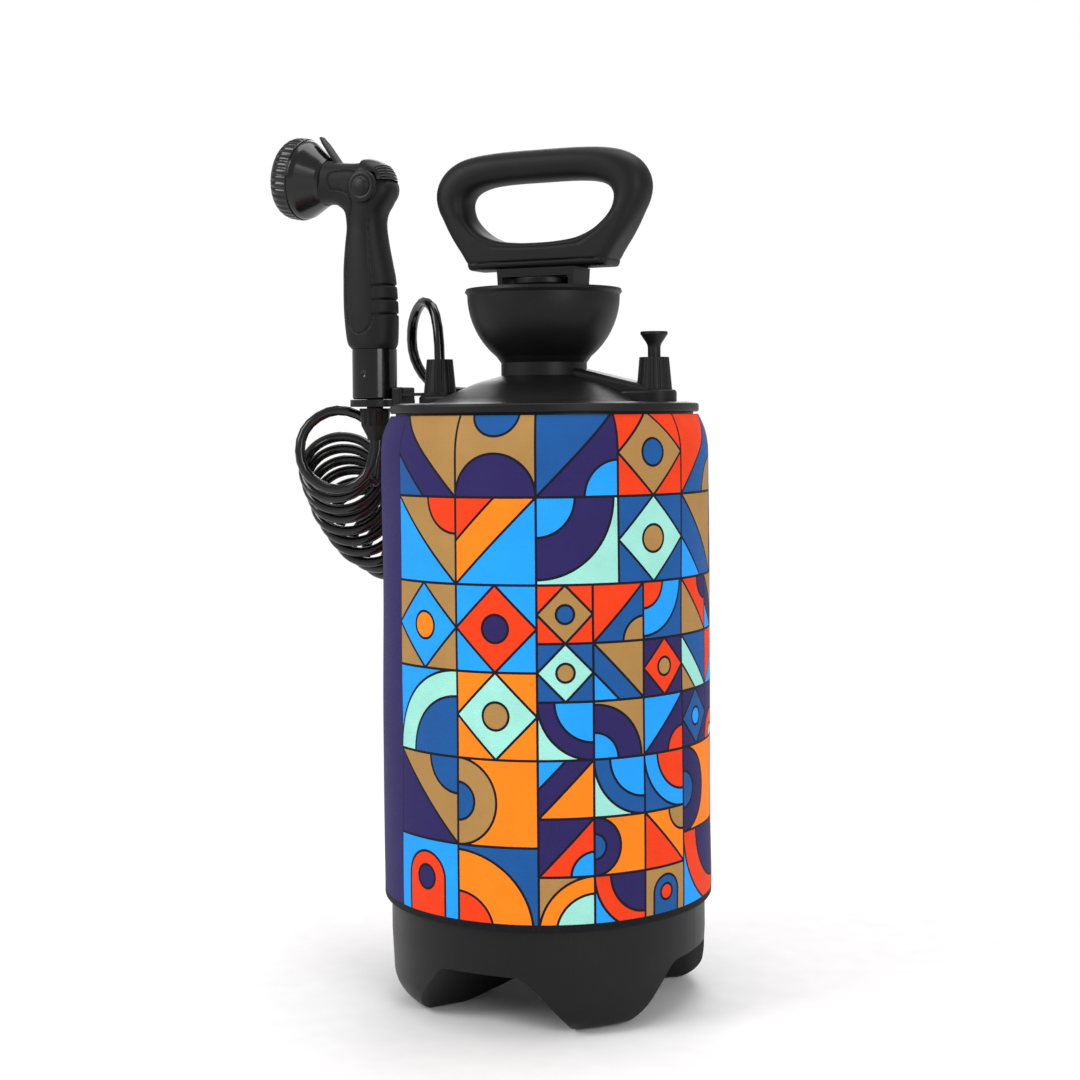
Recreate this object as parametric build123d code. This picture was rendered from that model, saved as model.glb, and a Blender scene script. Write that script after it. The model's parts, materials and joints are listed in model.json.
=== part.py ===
from build123d import *
from math import atan2, cos, degrees, pi, radians, sin, tan
import os

# Portable shower: a hand-pumped pressure tank with a coiled hose and a spray handset.
# Sizes are in millimetres. Z is up, and the tank stands on Z = 0.
# The pieces are made about the tank's axis and moved by AXIS_X when they are written,
# so that X = 0 is midway between the front of the spray head and the side of the sleeve.

# Overall layout
EDGE_HEIGHT = 345.0
RUNNING_GAP = 0.05
LOOSE_GAP = 0.3

# Tank
TANK_RADIUS = 94.0
TANK_WALL = 2.6
FITTING_RADIUS = TANK_RADIUS - 23.0
SHOULDER_BEND = 16.0
SHOULDER_EDGE_RADIUS = TANK_RADIUS - 4.8
SHOULDER_TOP = EDGE_HEIGHT + 7.0
SHOULDER_DISH_RADIUS = FITTING_RADIUS
SHOULDER_DISH_HEIGHT = EDGE_HEIGHT + 6.4
SHOULDER_KNEE_RADIUS = 41.0
SHOULDER_KNEE_HEIGHT = EDGE_HEIGHT + 19.4
BEAD_RADIUS = TANK_RADIUS - 1.5
BEAD_HEIGHT = 5.0
BEAD_GAP = 1.3
NECK_RADIUS = 25.8
NECK_BOTTOM = EDGE_HEIGHT + 23.6
NECK_BORE = 22.0
MOUTH_SEAT = EDGE_HEIGHT + 36.0
MOUTH_SEAT_RADIUS = 27.6
FUNNEL_RADIUS = 45.9
FUNNEL_TOP = EDGE_HEIGHT + 75.5
FUNNEL_BELLY_RADIUS = 40.2
FUNNEL_BELLY_HEIGHT = EDGE_HEIGHT + 49.5
FUNNEL_FOOT_RADIUS = 28.6
FUNNEL_FOOT_HEIGHT = EDGE_HEIGHT + 35.2
FUNNEL_WALL = 2.4
LIP_OVERHANG = 1.4
LIP_HEIGHT = 3.6

# Feet of the tank: four lobes between four arches
FOOT_COUNT = 4
FOOT_TOE_RADIUS = TANK_RADIUS - 2.0
FOOT_TOE_ROUND = 18.0
FOOT_HEEL_RADIUS = TANK_RADIUS - 34.0
FOOT_SIDE_HEIGHT = 40.0
FOOT_HOLLOW_HEIGHT = 18.0
ARCH_HEIGHT = 34.0
ARCH_CROWN_HALF_WIDTH = 26.0
ARCH_FOOT_HALF_WIDTH = 65.0
ARCH_CROWN_ROUND = 14.0
ARCH_FOOT_ROUND = 14.0

# Bosses on the shoulder
BOSS_TOP = EDGE_HEIGHT + 14.3
BOSS_WIDTH = 26.0
BOSS_INNER_RADIUS = FITTING_RADIUS - 25.0
BOSS_EDGE_ROUND = 2.0
RIDGE_WIDTH = 22.0
RIDGE_TOP = EDGE_HEIGHT + 28.0
RIDGE_SLOPE = 0.24
RIDGE_ROUND = 3.0

# Sleeve
SLEEVE_THICKNESS = 3.7
SLEEVE_EDGE_THICKNESS = 3.0
SLEEVE_BOTTOM = 63.4

# Holder bracket for the handset
HOLDER_X = -FITTING_RADIUS - 46.4
HOLDER_RING_RADIUS = 15.5
HOLDER_HOLE_RADIUS = 10.25
HOLDER_SLOT_WIDTH = 8.0
HOLDER_PLATE_BOTTOM = EDGE_HEIGHT + 6.0
HOLDER_PLATE_THICKNESS = 4.4
HOLDER_ARM_WIDTH = 16.0
HOLDER_BLOCK_OUTER_X = -FITTING_RADIUS - 30.0
HOLDER_BLOCK_INNER_X = -FITTING_RADIUS - 22.2
HOLDER_BLOCK_BOTTOM = EDGE_HEIGHT + 4.0
HOLDER_BLOCK_TOP = EDGE_HEIGHT + 18.0
HOLDER_EYE_RADIUS = 11.5
HOLDER_EYE_THICKNESS = 1.8

# Outlet and dip tube
STUB_RADIUS = 6.0
STUB_BORE = 3.0
STUB_BELOW_BOSS = 14.0
STUB_TIP_RADIUS = 5.2
OUTLET_NUT_HEIGHT = 20.5
OUTLET_NUT_BOTTOM_RADIUS = 10.0
OUTLET_NUT_TOP_RADIUS = 8.1
OUTLET_NUT_ROOF = 4.6
NUT_GROOVES = 14
NUT_GROOVE_RADIUS = 0.9
GASKET_THICKNESS = 1.2
GASKET_RADIUS = 8.0
DIP_TUBE_RADIUS = 4.2
DIP_TUBE_BORE = 3.05
DIP_TUBE_BOTTOM = 52.0
DIP_FILTER_RADIUS = 8.0
DIP_FILTER_HEIGHT = 14.0
DIP_FILTER_SOCKET = 4.0
DIP_FILTER_FLOOR = 1.6
DIP_FILTER_SLOT_WIDTH = 1.6
DIP_FILTER_SLOTS = 8

# Relief valve
RELIEF_BODY_RADIUS = 6.6
RELIEF_BODY_BORE = 5.6
RELIEF_BODY_BELOW_BOSS = 12.0
RELIEF_BODY_ABOVE_BOSS = 13.5
RELIEF_ORIFICE = 2.4
RELIEF_FLOOR = 2.0
RELIEF_GASKET_THICKNESS = 0.5
RELIEF_NUT_HEIGHT = 18.5
RELIEF_NUT_BOTTOM_RADIUS = 10.35
RELIEF_NUT_TOP_RADIUS = 8.7
RELIEF_NUT_ROOF = 3.5
RELIEF_STEM_RADIUS = 3.75
RELIEF_SHAFT_RADIUS = 2.2
RELIEF_DISC_RADIUS = 4.9
RELIEF_DISC_HEIGHT = 3.0
RELIEF_HEAD_RADIUS = 8.0
RELIEF_HEAD_RISE = 15.0
RELIEF_HEAD_HEIGHT = 8.0
RELIEF_SPRING_RADIUS = 3.7
RELIEF_SPRING_WIRE = 0.45
RELIEF_SPRING_TURNS = 7
O_RING_RADIUS = 0.8

# Pump
PUMP_FLANGE_RADIUS = 26.4
PUMP_FLANGE_HEIGHT = 8.0
PUMP_PLUG_RADIUS = 21.7
PUMP_PLUG_HEIGHT = 16.0
PUMP_TOWER_RADIUS = 13.0
PUMP_TOWER_BORE = 10.0
PUMP_TOWER_TOP = EDGE_HEIGHT + 82.0
PUMP_DISC_RADIUS = 17.5
PUMP_DISC_THICKNESS = 4.0
LOCK_LUG_RADIUS = 19.6
LOCK_LUG_THICKNESS = 4.0
LOCK_LUG_TOP = EDGE_HEIGHT + 70.0
LOCK_LUG_WIDTH = 24.0
BARREL_RADIUS = 19.0
BARREL_BORE = 17.0
BARREL_BOTTOM = 90.0
FOOT_VALVE_HEIGHT = 10.0
FOOT_VALVE_HOLES = 6
FOOT_VALVE_FLAP_THICKNESS = 1.5

# Piston and rod
ROD_RADIUS = 4.25
PISTON_RADIUS = 16.5
PISTON_HEIGHT = 18.0
PISTON_BOTTOM = 112.0
PISTON_GROOVE_HEIGHT = 8.0
PISTON_CORE_RADIUS = 11.0
CUP_SEAL_THICKNESS = 2.0
ROD_NUT_HEIGHT = 6.0
ROD_NUT_WIDTH = 14.0

# Handle
HANDLE_BOTTOM = EDGE_HEIGHT + 87.7
HANDLE_TOP = EDGE_HEIGHT + 158.6
HANDLE_BASE_HALF_WIDTH = 44.6
HANDLE_HALF_WIDTH = 69.5
HANDLE_SHOULDER_HEIGHT = 47.0
HANDLE_THICKNESS = 27.0
HANDLE_CORNER = 31.0
HANDLE_WINDOW_BOTTOM = EDGE_HEIGHT + 104.0
HANDLE_WINDOW_TOP = EDGE_HEIGHT + 141.0
HANDLE_WINDOW_HALF_WIDTH = 47.0
HANDLE_WINDOW_CORNER = 12.0
HANDLE_WINDOW_LOW_CORNER = 26.0
HANDLE_WINDOW_TAPER = 14.0
HANDLE_ROUND = 8.0
HANDLE_LEDGE_HEIGHT = 5.0
HANDLE_LEDGE_DEPTH = 0.8
SKIRT_HALF_WIDTH = 25.4
SKIRT_TIP_HALF_WIDTH = 23.6
SKIRT_WALL = 3.6
SKIRT_DEPTH = 24.0
SKIRT_BOTTOM = LOCK_LUG_TOP - LOCK_LUG_THICKNESS - 4.5
SKIRT_ROOF = 5.0
HOOK_WIDTH = 11.0
HOOK_HEIGHT = 4.0
HANDLE_PIN_RADIUS = 2.0

# Handset
HANDSET_SEAT = HOLDER_PLATE_BOTTOM + HOLDER_PLATE_THICKNESS + LOOSE_GAP
CONNECTOR_RADIUS = 14.0
CONNECTOR_TOP = EDGE_HEIGHT + 42.0
CONNECTOR_BOTTOM_ROUND = 1.2
HOSE_NUT_COLLAR_RADIUS = 9.7
HOSE_NUT_RADIUS = 9.4
HOSE_NUT_LOW_RADIUS = 8.8
HOSE_NUT_NECK_RADIUS = 5.2
PIVOT_X = HOLDER_X - 12.1
PIVOT_Z = EDGE_HEIGHT + 145.8
HEAD_TILT = 8.9
HEAD_LENGTH = 53.0
NECK_TUBE_RADIUS = 13.3
NECK_TUBE_END_RADIUS = 14.2
BALL_X = PIVOT_X + 10.5
BALL_RADIUS = 16.0
BELL_RADIUS = 25.2
BELL_LENGTH = HEAD_LENGTH * 0.38
RING_RADIUS = 25.7
RING_WIDTH = HEAD_LENGTH * 0.245
RING_GROOVES = 30
RING_GROOVE_RADIUS = 0.9
RING_WALL = 2.6
BELL_SPIGOT_LENGTH = 3.2
PLATE_THICKNESS = 2.5
FACE_DOME_RADIUS = 46.0
FACE_EDGE_ROUND = 2.0
PLATE_HOLE_RADIUS = 0.7
PLATE_HOLE_CIRCLES = ((6, 6.0), (12, 12.0), (18, 18.0))
INLAY_DEPTH = 1.0
LEVER_RING_RADIUS = 8.8
LEVER_PLATE = 2.5
LEVER_GAP = 0.9
LEVER_SHELL = 2.6
LEVER_SHELL_GAP = 0.8
LEVER_FRONT = 5.5
LEVER_PIN_RADIUS = 2.6
LEVER_PIN_HEAD_RADIUS = 3.8
LEVER_PIN_HEAD_HEIGHT = 0.9
TAB_LENGTH = 14.6
TAB_THICKNESS = 2.0
TAB_WIDTH = 9.0
TAB_LEAN = 40.0

# Place of the tank's axis
HEAD_REACH = HEAD_LENGTH * cos(radians(HEAD_TILT)) + RING_RADIUS * sin(radians(HEAD_TILT)) - PIVOT_X
AXIS_X = (HEAD_REACH - TANK_RADIUS - LOOSE_GAP - SLEEVE_THICKNESS) / 2

# Hose
HOSE_RADIUS = 3.25
COIL_RADIUS = 27.5
RUN_SHARE = 0.45

# Route of the hose out of the outlet nut, about the tank's axis and the sleeve's edge
OUTLET_ROUTE = (
    (-FITTING_RADIUS, 0.0, 30.2),
    (-FITTING_RADIUS, 0.0, 60.0),
    (-88.5, 14.0, 75.5),
    (-108.0, 31.0, 62.0),
    (-112.0, 39.0, 36.0),
    (-96.0, 39.0, 17.0),
    (-74.0, 51.0, 14.5),
    (-62.0, 74.0, 16.0),
    (-63.0, 99.0, 7.0),
    (-68.5, 112.0, -14.0),
    (-70.0, 114.0, -29.0),
)

# Route of the hose out of the handset's nut: the first open turn of the coil
HANDSET_ROUTE = (
    (HOLDER_X, 0.0, -9.0),
    (-117.5, 0.6, -35.0),
    (-141.0, -6.9, -49.5),
    (-164.0, -14.9, -35.5),
    (-165.1, -12.7, -7.0),
    (-144.2, -0.1, 7.5),
    (-122.6, 13.4, -5.5),
    (-125.5, 18.5, -31.0),
    (-128.5, 19.5, -45.0),
)

# Axis of the coil behind the tank
COIL_ROUTE = (
    (-147.1, 4.2, -24.0),
    (-152.8, 17.0, -34.0),
    (-154.5, 28.4, -50.0),
    (-151.4, 40.8, -67.0),
    (-140.7, 55.7, -83.0),
    (-122.8, 74.0, -90.0),
    (-105.8, 91.9, -80.0),
    (-95.1, 104.6, -62.0),
    (-90.0, 110.3, -40.0),
    (-89.0, 111.0, -18.0),
)

# Grip of the handset: height above the sleeve's edge, centre from the holder's, half depth, half width
GRIP_STATIONS = (
    (42.0, -1.2, 14.6, 13.2),
    (48.0, -2.2, 17.4, 14.0),
    (66.0, -3.4, 18.6, 14.2),
    (85.0, -4.0, 17.6, 13.8),
    (106.0, -5.0, 15.2, 12.8),
    (124.0, -5.6, 12.8, 12.2),
    (138.0, -5.2, 13.6, 12.6),
)


def tube(outer_radius, inner_radius, bottom, top):
    """A hollow cylinder on the Z axis."""
    height = top - bottom
    solid = Pos(0, 0, bottom) * extrude(Circle(outer_radius), amount=height)
    return solid - Pos(0, 0, bottom) * extrude(Circle(inner_radius), amount=height)


def rod(radius, bottom, top):
    """A solid cylinder on the Z axis."""
    return Pos(0, 0, bottom) * extrude(Circle(radius), amount=top - bottom)


def turned(points, radii=0):
    """A solid of revolution from its closed outline of radius and height."""
    outline = FilletPolyline(points, radius=radii, close=True)
    return revolve(Plane.XZ * make_face(outline), Axis.Z)


def ribbed_cone(bottom_radius, top_radius, bottom, height, groove_count, groove_radius):
    """A tapered nut with grooves along its side."""
    nut = Pos(0, 0, bottom) * Cone(
        bottom_radius, top_radius, height, align=(Align.CENTER, Align.CENTER, Align.MIN)
    )
    taper = degrees(atan2(bottom_radius - top_radius, height))
    middle_radius = (bottom_radius + top_radius) / 2 + groove_radius / 3
    groove = Rot(0, -taper, 0) * Cylinder(groove_radius, 2 * height)
    place = Pos(0, 0, bottom + height / 2) * PolarLocations(middle_radius, groove_count)
    return nut - [spot * groove for spot in place]


def arch_section(distance, growth):
    """The bell-shaped section of the hollow between two feet, at a distance from the axis."""
    share = distance / TANK_RADIUS
    foot = (ARCH_FOOT_HALF_WIDTH + growth) * share
    crown = (ARCH_CROWN_HALF_WIDTH + growth) * share
    crown_height = FOOT_HOLLOW_HEIGHT + (ARCH_HEIGHT - FOOT_HOLLOW_HEIGHT) * share + growth
    side = (foot + ARCH_FOOT_ROUND * share, growth)
    points = (
        (-crown, crown_height),
        (crown, crown_height),
        (foot, growth),
        side,
        (side[0], growth - ARCH_HEIGHT),
        (-side[0], growth - ARCH_HEIGHT),
        (-side[0], growth),
        (-foot, growth),
    )
    crown_round = ARCH_CROWN_ROUND * share
    foot_round = ARCH_FOOT_ROUND * share
    radii = (crown_round, crown_round, foot_round, 0, 0, 0, 0, foot_round)
    return make_face(FilletPolyline(points, radius=radii, close=True))


def arch_cutter(growth):
    """The hollow between two feet, which widens from the axis to the wall."""
    near = TANK_RADIUS / 12
    far = TANK_RADIUS * 1.3
    sections = [Plane.YZ.offset(distance) * arch_section(distance, growth) for distance in (near, far)]
    return loft(sections, ruled=True)


def tank_form(inset):
    """The closed form of the tank's outer skin, or of its inside when it is inset."""
    points = (
        (0, FOOT_HOLLOW_HEIGHT + inset),
        (FOOT_HEEL_RADIUS - inset, inset),
        (FOOT_TOE_RADIUS - inset, inset),
        (TANK_RADIUS - inset, FOOT_SIDE_HEIGHT),
        (TANK_RADIUS - inset, EDGE_HEIGHT - SHOULDER_BEND),
        (SHOULDER_EDGE_RADIUS - inset, EDGE_HEIGHT - inset),
        (SHOULDER_EDGE_RADIUS - inset, SHOULDER_TOP - inset),
        (SHOULDER_DISH_RADIUS, SHOULDER_DISH_HEIGHT - inset),
        (SHOULDER_KNEE_RADIUS, SHOULDER_KNEE_HEIGHT - inset),
        (NECK_RADIUS - inset, NECK_BOTTOM - inset),
        (0, NECK_BOTTOM - inset),
    )
    form = turned(points, (0, 12, FOOT_TOE_ROUND, 40, 20, 8, 3, 36, 40, 0, 0))
    cutter = arch_cutter(inset)
    step = 360 / FOOT_COUNT
    return form - [Rot(0, 0, step * index) * cutter for index in range(FOOT_COUNT)]


def funnel():
    """The neck and the bowl-shaped mouth above the shoulder."""
    outer_foot = (FUNNEL_FOOT_RADIUS, FUNNEL_FOOT_HEIGHT)
    outer_belly = (FUNNEL_BELLY_RADIUS, FUNNEL_BELLY_HEIGHT)
    outer_top = (FUNNEL_RADIUS, FUNNEL_TOP - LIP_HEIGHT)
    lip = (FUNNEL_RADIUS + LIP_OVERHANG, FUNNEL_TOP - LIP_HEIGHT / 2)
    lip_top = (FUNNEL_RADIUS + LIP_OVERHANG / 2, FUNNEL_TOP)
    inner_top = (FUNNEL_RADIUS - FUNNEL_WALL, FUNNEL_TOP)
    inner_belly = (FUNNEL_BELLY_RADIUS - FUNNEL_WALL * 0.8, FUNNEL_BELLY_HEIGHT + FUNNEL_WALL * 0.8)
    inner_foot = (MOUTH_SEAT_RADIUS, MOUTH_SEAT)
    edges = [
        Line((0, NECK_BOTTOM - TANK_WALL / 2), (NECK_RADIUS, NECK_BOTTOM - TANK_WALL / 2)),
        Line((NECK_RADIUS, NECK_BOTTOM - TANK_WALL / 2), (NECK_RADIUS, FUNNEL_FOOT_HEIGHT - 4)),
        Line((NECK_RADIUS, FUNNEL_FOOT_HEIGHT - 4), outer_foot),
        ThreePointArc(outer_foot, outer_belly, outer_top),
        Line(outer_top, lip),
        Line(lip, lip_top),
        Line(lip_top, inner_top),
        ThreePointArc(inner_top, inner_belly, inner_foot),
        Line(inner_foot, (0, MOUTH_SEAT)),
        Line((0, MOUTH_SEAT), (0, NECK_BOTTOM - TANK_WALL / 2)),
    ]
    return revolve(Plane.XZ * make_face(edges), Axis.Z)


def shoulder_boss(side, top):
    """A flat-topped ridge on the shoulder that carries a fitting."""
    length = FITTING_RADIUS - BOSS_INNER_RADIUS + BOSS_WIDTH / 2
    middle = FITTING_RADIUS + BOSS_WIDTH / 2 - length / 2
    bottom = EDGE_HEIGHT - SHOULDER_BEND / 4
    boss = extrude(SlotOverall(length, BOSS_WIDTH), amount=top - bottom)
    boss = fillet(boss.edges().group_by(Axis.Z)[-1], BOSS_EDGE_ROUND)
    return Pos(side * middle, 0, bottom) * boss


def shoulder_ridge():
    """The sloping rib from the neck down to the relief boss."""
    near = NECK_RADIUS - TANK_WALL
    far = FITTING_RADIUS
    points = (
        (near, EDGE_HEIGHT),
        (far, EDGE_HEIGHT),
        (far, RIDGE_TOP - (far - near) * RIDGE_SLOPE),
        (near, RIDGE_TOP),
    )
    ridge = extrude(Plane.XZ * make_face(Polyline(points, close=True)), amount=RIDGE_WIDTH / 2, both=True)
    length = far - near
    soft = [edge for edge in ridge.edges() if edge.length > length and edge.center().Z > BOSS_TOP]
    return fillet(soft, RIDGE_ROUND)


def make_tank():
    """The blow-moulded tank with its feet, shoulder, bosses, neck and funnel."""
    bead_bottom = EDGE_HEIGHT + BEAD_GAP
    bead_points = (
        (SHOULDER_EDGE_RADIUS - TANK_WALL, bead_bottom),
        (BEAD_RADIUS, bead_bottom),
        (BEAD_RADIUS, bead_bottom + BEAD_HEIGHT),
        (SHOULDER_EDGE_RADIUS - TANK_WALL, bead_bottom + BEAD_HEIGHT + 1),
    )
    skin = tank_form(0) + turned(bead_points, (0, 1.2, 1.6, 0)) + funnel()
    skin += shoulder_boss(1, BOSS_TOP) + shoulder_ridge()
    skin += shoulder_boss(-1, BOSS_TOP - HOLDER_EYE_THICKNESS)
    shell = skin - tank_form(TANK_WALL)
    shell -= rod(NECK_BORE, NECK_BOTTOM - 2 * TANK_WALL, FUNNEL_TOP)
    outlet_hole = rod(STUB_RADIUS + RUNNING_GAP, EDGE_HEIGHT - STUB_BELOW_BOSS, BOSS_TOP)
    outlet_hole += rod(HOLDER_EYE_RADIUS + LOOSE_GAP, BOSS_TOP - HOLDER_EYE_THICKNESS, NECK_BOTTOM)
    relief_hole = rod(RELIEF_BODY_RADIUS + RUNNING_GAP, EDGE_HEIGHT - STUB_BELOW_BOSS, BOSS_TOP)
    relief_hole += rod(RELIEF_NUT_BOTTOM_RADIUS + LOOSE_GAP, BOSS_TOP, NECK_BOTTOM)
    shell -= Pos(-FITTING_RADIUS, 0, 0) * outlet_hole
    shell -= Pos(FITTING_RADIUS, 0, 0) * relief_hole
    return shell


def make_sleeve():
    """The cloth sleeve, which bends in over the shoulder and under its lower hem."""
    inner = TANK_RADIUS + LOOSE_GAP
    outer = inner + SLEEVE_THICKNESS
    edge_inner = SHOULDER_EDGE_RADIUS + LOOSE_GAP
    edge_outer = edge_inner + SLEEVE_EDGE_THICKNESS
    bend = EDGE_HEIGHT - SHOULDER_BEND
    points = (
        (inner, SLEEVE_BOTTOM),
        (outer - SLEEVE_THICKNESS / 2, SLEEVE_BOTTOM),
        (outer, SLEEVE_BOTTOM + SLEEVE_THICKNESS),
        (outer, bend),
        (edge_outer, EDGE_HEIGHT),
        (edge_inner, EDGE_HEIGHT),
        (inner, bend),
    )
    return turned(points, (0, 1.5, 6, 24, 1.2, 0, 20))


def make_outlet_stub():
    """The hollow stub that carries the outlet nut above and the dip tube below."""
    bottom = BOSS_TOP - STUB_BELOW_BOSS
    top = BOSS_TOP + OUTLET_NUT_HEIGHT - OUTLET_NUT_ROOF - LOOSE_GAP
    stub = rod(STUB_RADIUS, bottom, BOSS_TOP + GASKET_THICKNESS)
    stub += rod(STUB_TIP_RADIUS, BOSS_TOP, top)
    return stub - rod(STUB_BORE, bottom, top)


def make_outlet_gasket():
    """The flat ring under the outlet nut."""
    return tube(GASKET_RADIUS, STUB_RADIUS, BOSS_TOP, BOSS_TOP + GASKET_THICKNESS)


def make_outlet_nut():
    """The ribbed nut that holds the hose."""
    top = BOSS_TOP + OUTLET_NUT_HEIGHT
    nut = ribbed_cone(
        OUTLET_NUT_BOTTOM_RADIUS,
        OUTLET_NUT_TOP_RADIUS,
        BOSS_TOP,
        OUTLET_NUT_HEIGHT,
        NUT_GROOVES,
        NUT_GROOVE_RADIUS,
    )
    nut -= rod(GASKET_RADIUS, BOSS_TOP, BOSS_TOP + GASKET_THICKNESS)
    nut -= rod(STUB_TIP_RADIUS + RUNNING_GAP, BOSS_TOP, top - OUTLET_NUT_ROOF)
    return nut - rod(HOSE_RADIUS + LOOSE_GAP, BOSS_TOP, top)


def make_dip_tube():
    """The tube from the outlet stub down to the filter."""
    top = BOSS_TOP - STUB_BELOW_BOSS
    return tube(DIP_TUBE_RADIUS, DIP_TUBE_BORE, DIP_TUBE_BOTTOM, top)


def make_dip_filter():
    """The slotted filter at the foot of the dip tube."""
    bottom = DIP_TUBE_BOTTOM - DIP_FILTER_HEIGHT
    top = DIP_TUBE_BOTTOM + DIP_FILTER_SOCKET
    body = rod(DIP_FILTER_RADIUS, bottom, top)
    body -= rod(DIP_TUBE_RADIUS, bottom + DIP_FILTER_FLOOR, top)
    slot = Box(4 * DIP_FILTER_RADIUS, DIP_FILTER_SLOT_WIDTH, DIP_FILTER_HEIGHT * 0.6)
    middle = bottom + DIP_FILTER_HEIGHT / 2
    turns = DIP_FILTER_SLOTS // 2
    return body - [Pos(0, 0, middle) * Rot(0, 0, 180 / turns * index) * slot for index in range(turns)]


def make_holder_bracket():
    """The slotted ring for the handset, its raised block and the eye under the outlet nut."""
    plate_top = HOLDER_PLATE_BOTTOM + HOLDER_PLATE_THICKNESS
    eye_bottom = BOSS_TOP - HOLDER_EYE_THICKNESS
    ring = Pos(HOLDER_X, 0, 0) * rod(HOLDER_RING_RADIUS, HOLDER_PLATE_BOTTOM, plate_top)
    arm_length = HOLDER_BLOCK_INNER_X - HOLDER_X
    arm_box = Box(arm_length, HOLDER_ARM_WIDTH, HOLDER_PLATE_THICKNESS)
    arm = Pos(HOLDER_X + arm_length / 2, 0, HOLDER_PLATE_BOTTOM + HOLDER_PLATE_THICKNESS / 2) * arm_box
    block_depth = HOLDER_BLOCK_INNER_X - HOLDER_BLOCK_OUTER_X
    block_height = HOLDER_BLOCK_TOP - HOLDER_BLOCK_BOTTOM
    block = Box(block_depth, HOLDER_ARM_WIDTH + 2, block_height)
    block = fillet(block.edges().filter_by(Axis.Z), 2)
    block = fillet(block.edges().group_by(Axis.Z)[-1], 1.2)
    block_x = (HOLDER_BLOCK_INNER_X + HOLDER_BLOCK_OUTER_X) / 2
    block = Pos(block_x, 0, (HOLDER_BLOCK_TOP + HOLDER_BLOCK_BOTTOM) / 2) * block
    strip_length = -FITTING_RADIUS - block_x
    strip = Box(strip_length, HOLDER_ARM_WIDTH, HOLDER_EYE_THICKNESS)
    strip = Pos(block_x + strip_length / 2, 0, eye_bottom + HOLDER_EYE_THICKNESS / 2) * strip
    eye = Pos(-FITTING_RADIUS, 0, 0) * rod(HOLDER_EYE_RADIUS, eye_bottom, BOSS_TOP)
    bracket = ring + arm + block + strip + eye
    bracket -= Pos(-FITTING_RADIUS, 0, 0) * rod(STUB_RADIUS + RUNNING_GAP, eye_bottom, BOSS_TOP)
    bracket -= Pos(HOLDER_X, 0, 0) * rod(HOLDER_HOLE_RADIUS, HOLDER_PLATE_BOTTOM, plate_top)
    slot = Box(2 * HOLDER_RING_RADIUS, HOLDER_SLOT_WIDTH, 4 * HOLDER_PLATE_THICKNESS)
    return bracket - Pos(HOLDER_X - HOLDER_RING_RADIUS, 0, plate_top) * slot


def relief_nut_bottom():
    """Height of the relief nut's lower face."""
    return BOSS_TOP + RELIEF_GASKET_THICKNESS


def relief_seat():
    """Height of the seat that the relief disc closes."""
    return BOSS_TOP - RELIEF_BODY_BELOW_BOSS + RELIEF_FLOOR


def make_relief_body():
    """The threaded tube in the boss with the valve seat at its foot."""
    bottom = BOSS_TOP - RELIEF_BODY_BELOW_BOSS
    top = BOSS_TOP + RELIEF_BODY_ABOVE_BOSS
    body = tube(RELIEF_BODY_RADIUS, RELIEF_BODY_BORE, bottom, top)
    return body + tube(RELIEF_BODY_BORE, RELIEF_ORIFICE, bottom, relief_seat())


def make_relief_gasket():
    """The thin ring between the boss and the relief nut."""
    return tube(RELIEF_NUT_BOTTOM_RADIUS, RELIEF_BODY_RADIUS, BOSS_TOP, relief_nut_bottom())


def make_relief_nut():
    """The ribbed cap of the relief valve, with the guide hole of the stem."""
    bottom = relief_nut_bottom()
    top = bottom + RELIEF_NUT_HEIGHT
    nut = ribbed_cone(
        RELIEF_NUT_BOTTOM_RADIUS,
        RELIEF_NUT_TOP_RADIUS,
        bottom,
        RELIEF_NUT_HEIGHT,
        NUT_GROOVES,
        NUT_GROOVE_RADIUS,
    )
    nut -= rod(RELIEF_BODY_RADIUS, bottom, top - RELIEF_NUT_ROOF)
    return nut - rod(RELIEF_STEM_RADIUS + RUNNING_GAP, bottom, top)


def make_relief_stem():
    """The stem with its flared head above and the valve disc below."""
    nut_top = relief_nut_bottom() + RELIEF_NUT_HEIGHT
    seat = relief_seat() + 2 * O_RING_RADIUS
    head_top = nut_top + RELIEF_HEAD_RISE
    roof = nut_top - RELIEF_NUT_ROOF
    flare_bottom = head_top - RELIEF_HEAD_HEIGHT
    points = (
        (0, seat),
        (RELIEF_DISC_RADIUS, seat),
        (RELIEF_DISC_RADIUS, seat + RELIEF_DISC_HEIGHT),
        (RELIEF_SHAFT_RADIUS, seat + RELIEF_DISC_HEIGHT),
        (RELIEF_SHAFT_RADIUS, roof),
        (RELIEF_STEM_RADIUS, roof),
        (RELIEF_STEM_RADIUS, flare_bottom),
        (RELIEF_HEAD_RADIUS, head_top - 1.6),
        (RELIEF_HEAD_RADIUS, head_top),
        (0, head_top),
    )
    return turned(points, (0, 0, 0, 0, 0, 0, 6, 0.6, 0.4, 0))


def make_relief_o_ring():
    """The ring under the disc that seals on the valve seat."""
    middle = RELIEF_DISC_RADIUS - O_RING_RADIUS
    return Pos(0, 0, relief_seat() + O_RING_RADIUS) * Torus(middle, O_RING_RADIUS)


def make_relief_spring():
    """The spring between the disc and the nut's roof."""
    bottom = relief_seat() + 2 * O_RING_RADIUS + RELIEF_DISC_HEIGHT
    top = relief_nut_bottom() + RELIEF_NUT_HEIGHT - RELIEF_NUT_ROOF
    height = top - bottom - 2 * RELIEF_SPRING_WIRE
    path = Helix(height / RELIEF_SPRING_TURNS, height, RELIEF_SPRING_RADIUS)
    section = Plane(origin=path @ 0, z_dir=path % 0) * Circle(RELIEF_SPRING_WIRE)
    return Pos(0, 0, bottom + RELIEF_SPRING_WIRE) * sweep(section, path=path, is_frenet=True)


def pump_seat():
    """Height of the pump collar's lower face, on its gasket."""
    return MOUTH_SEAT + GASKET_THICKNESS


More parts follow.
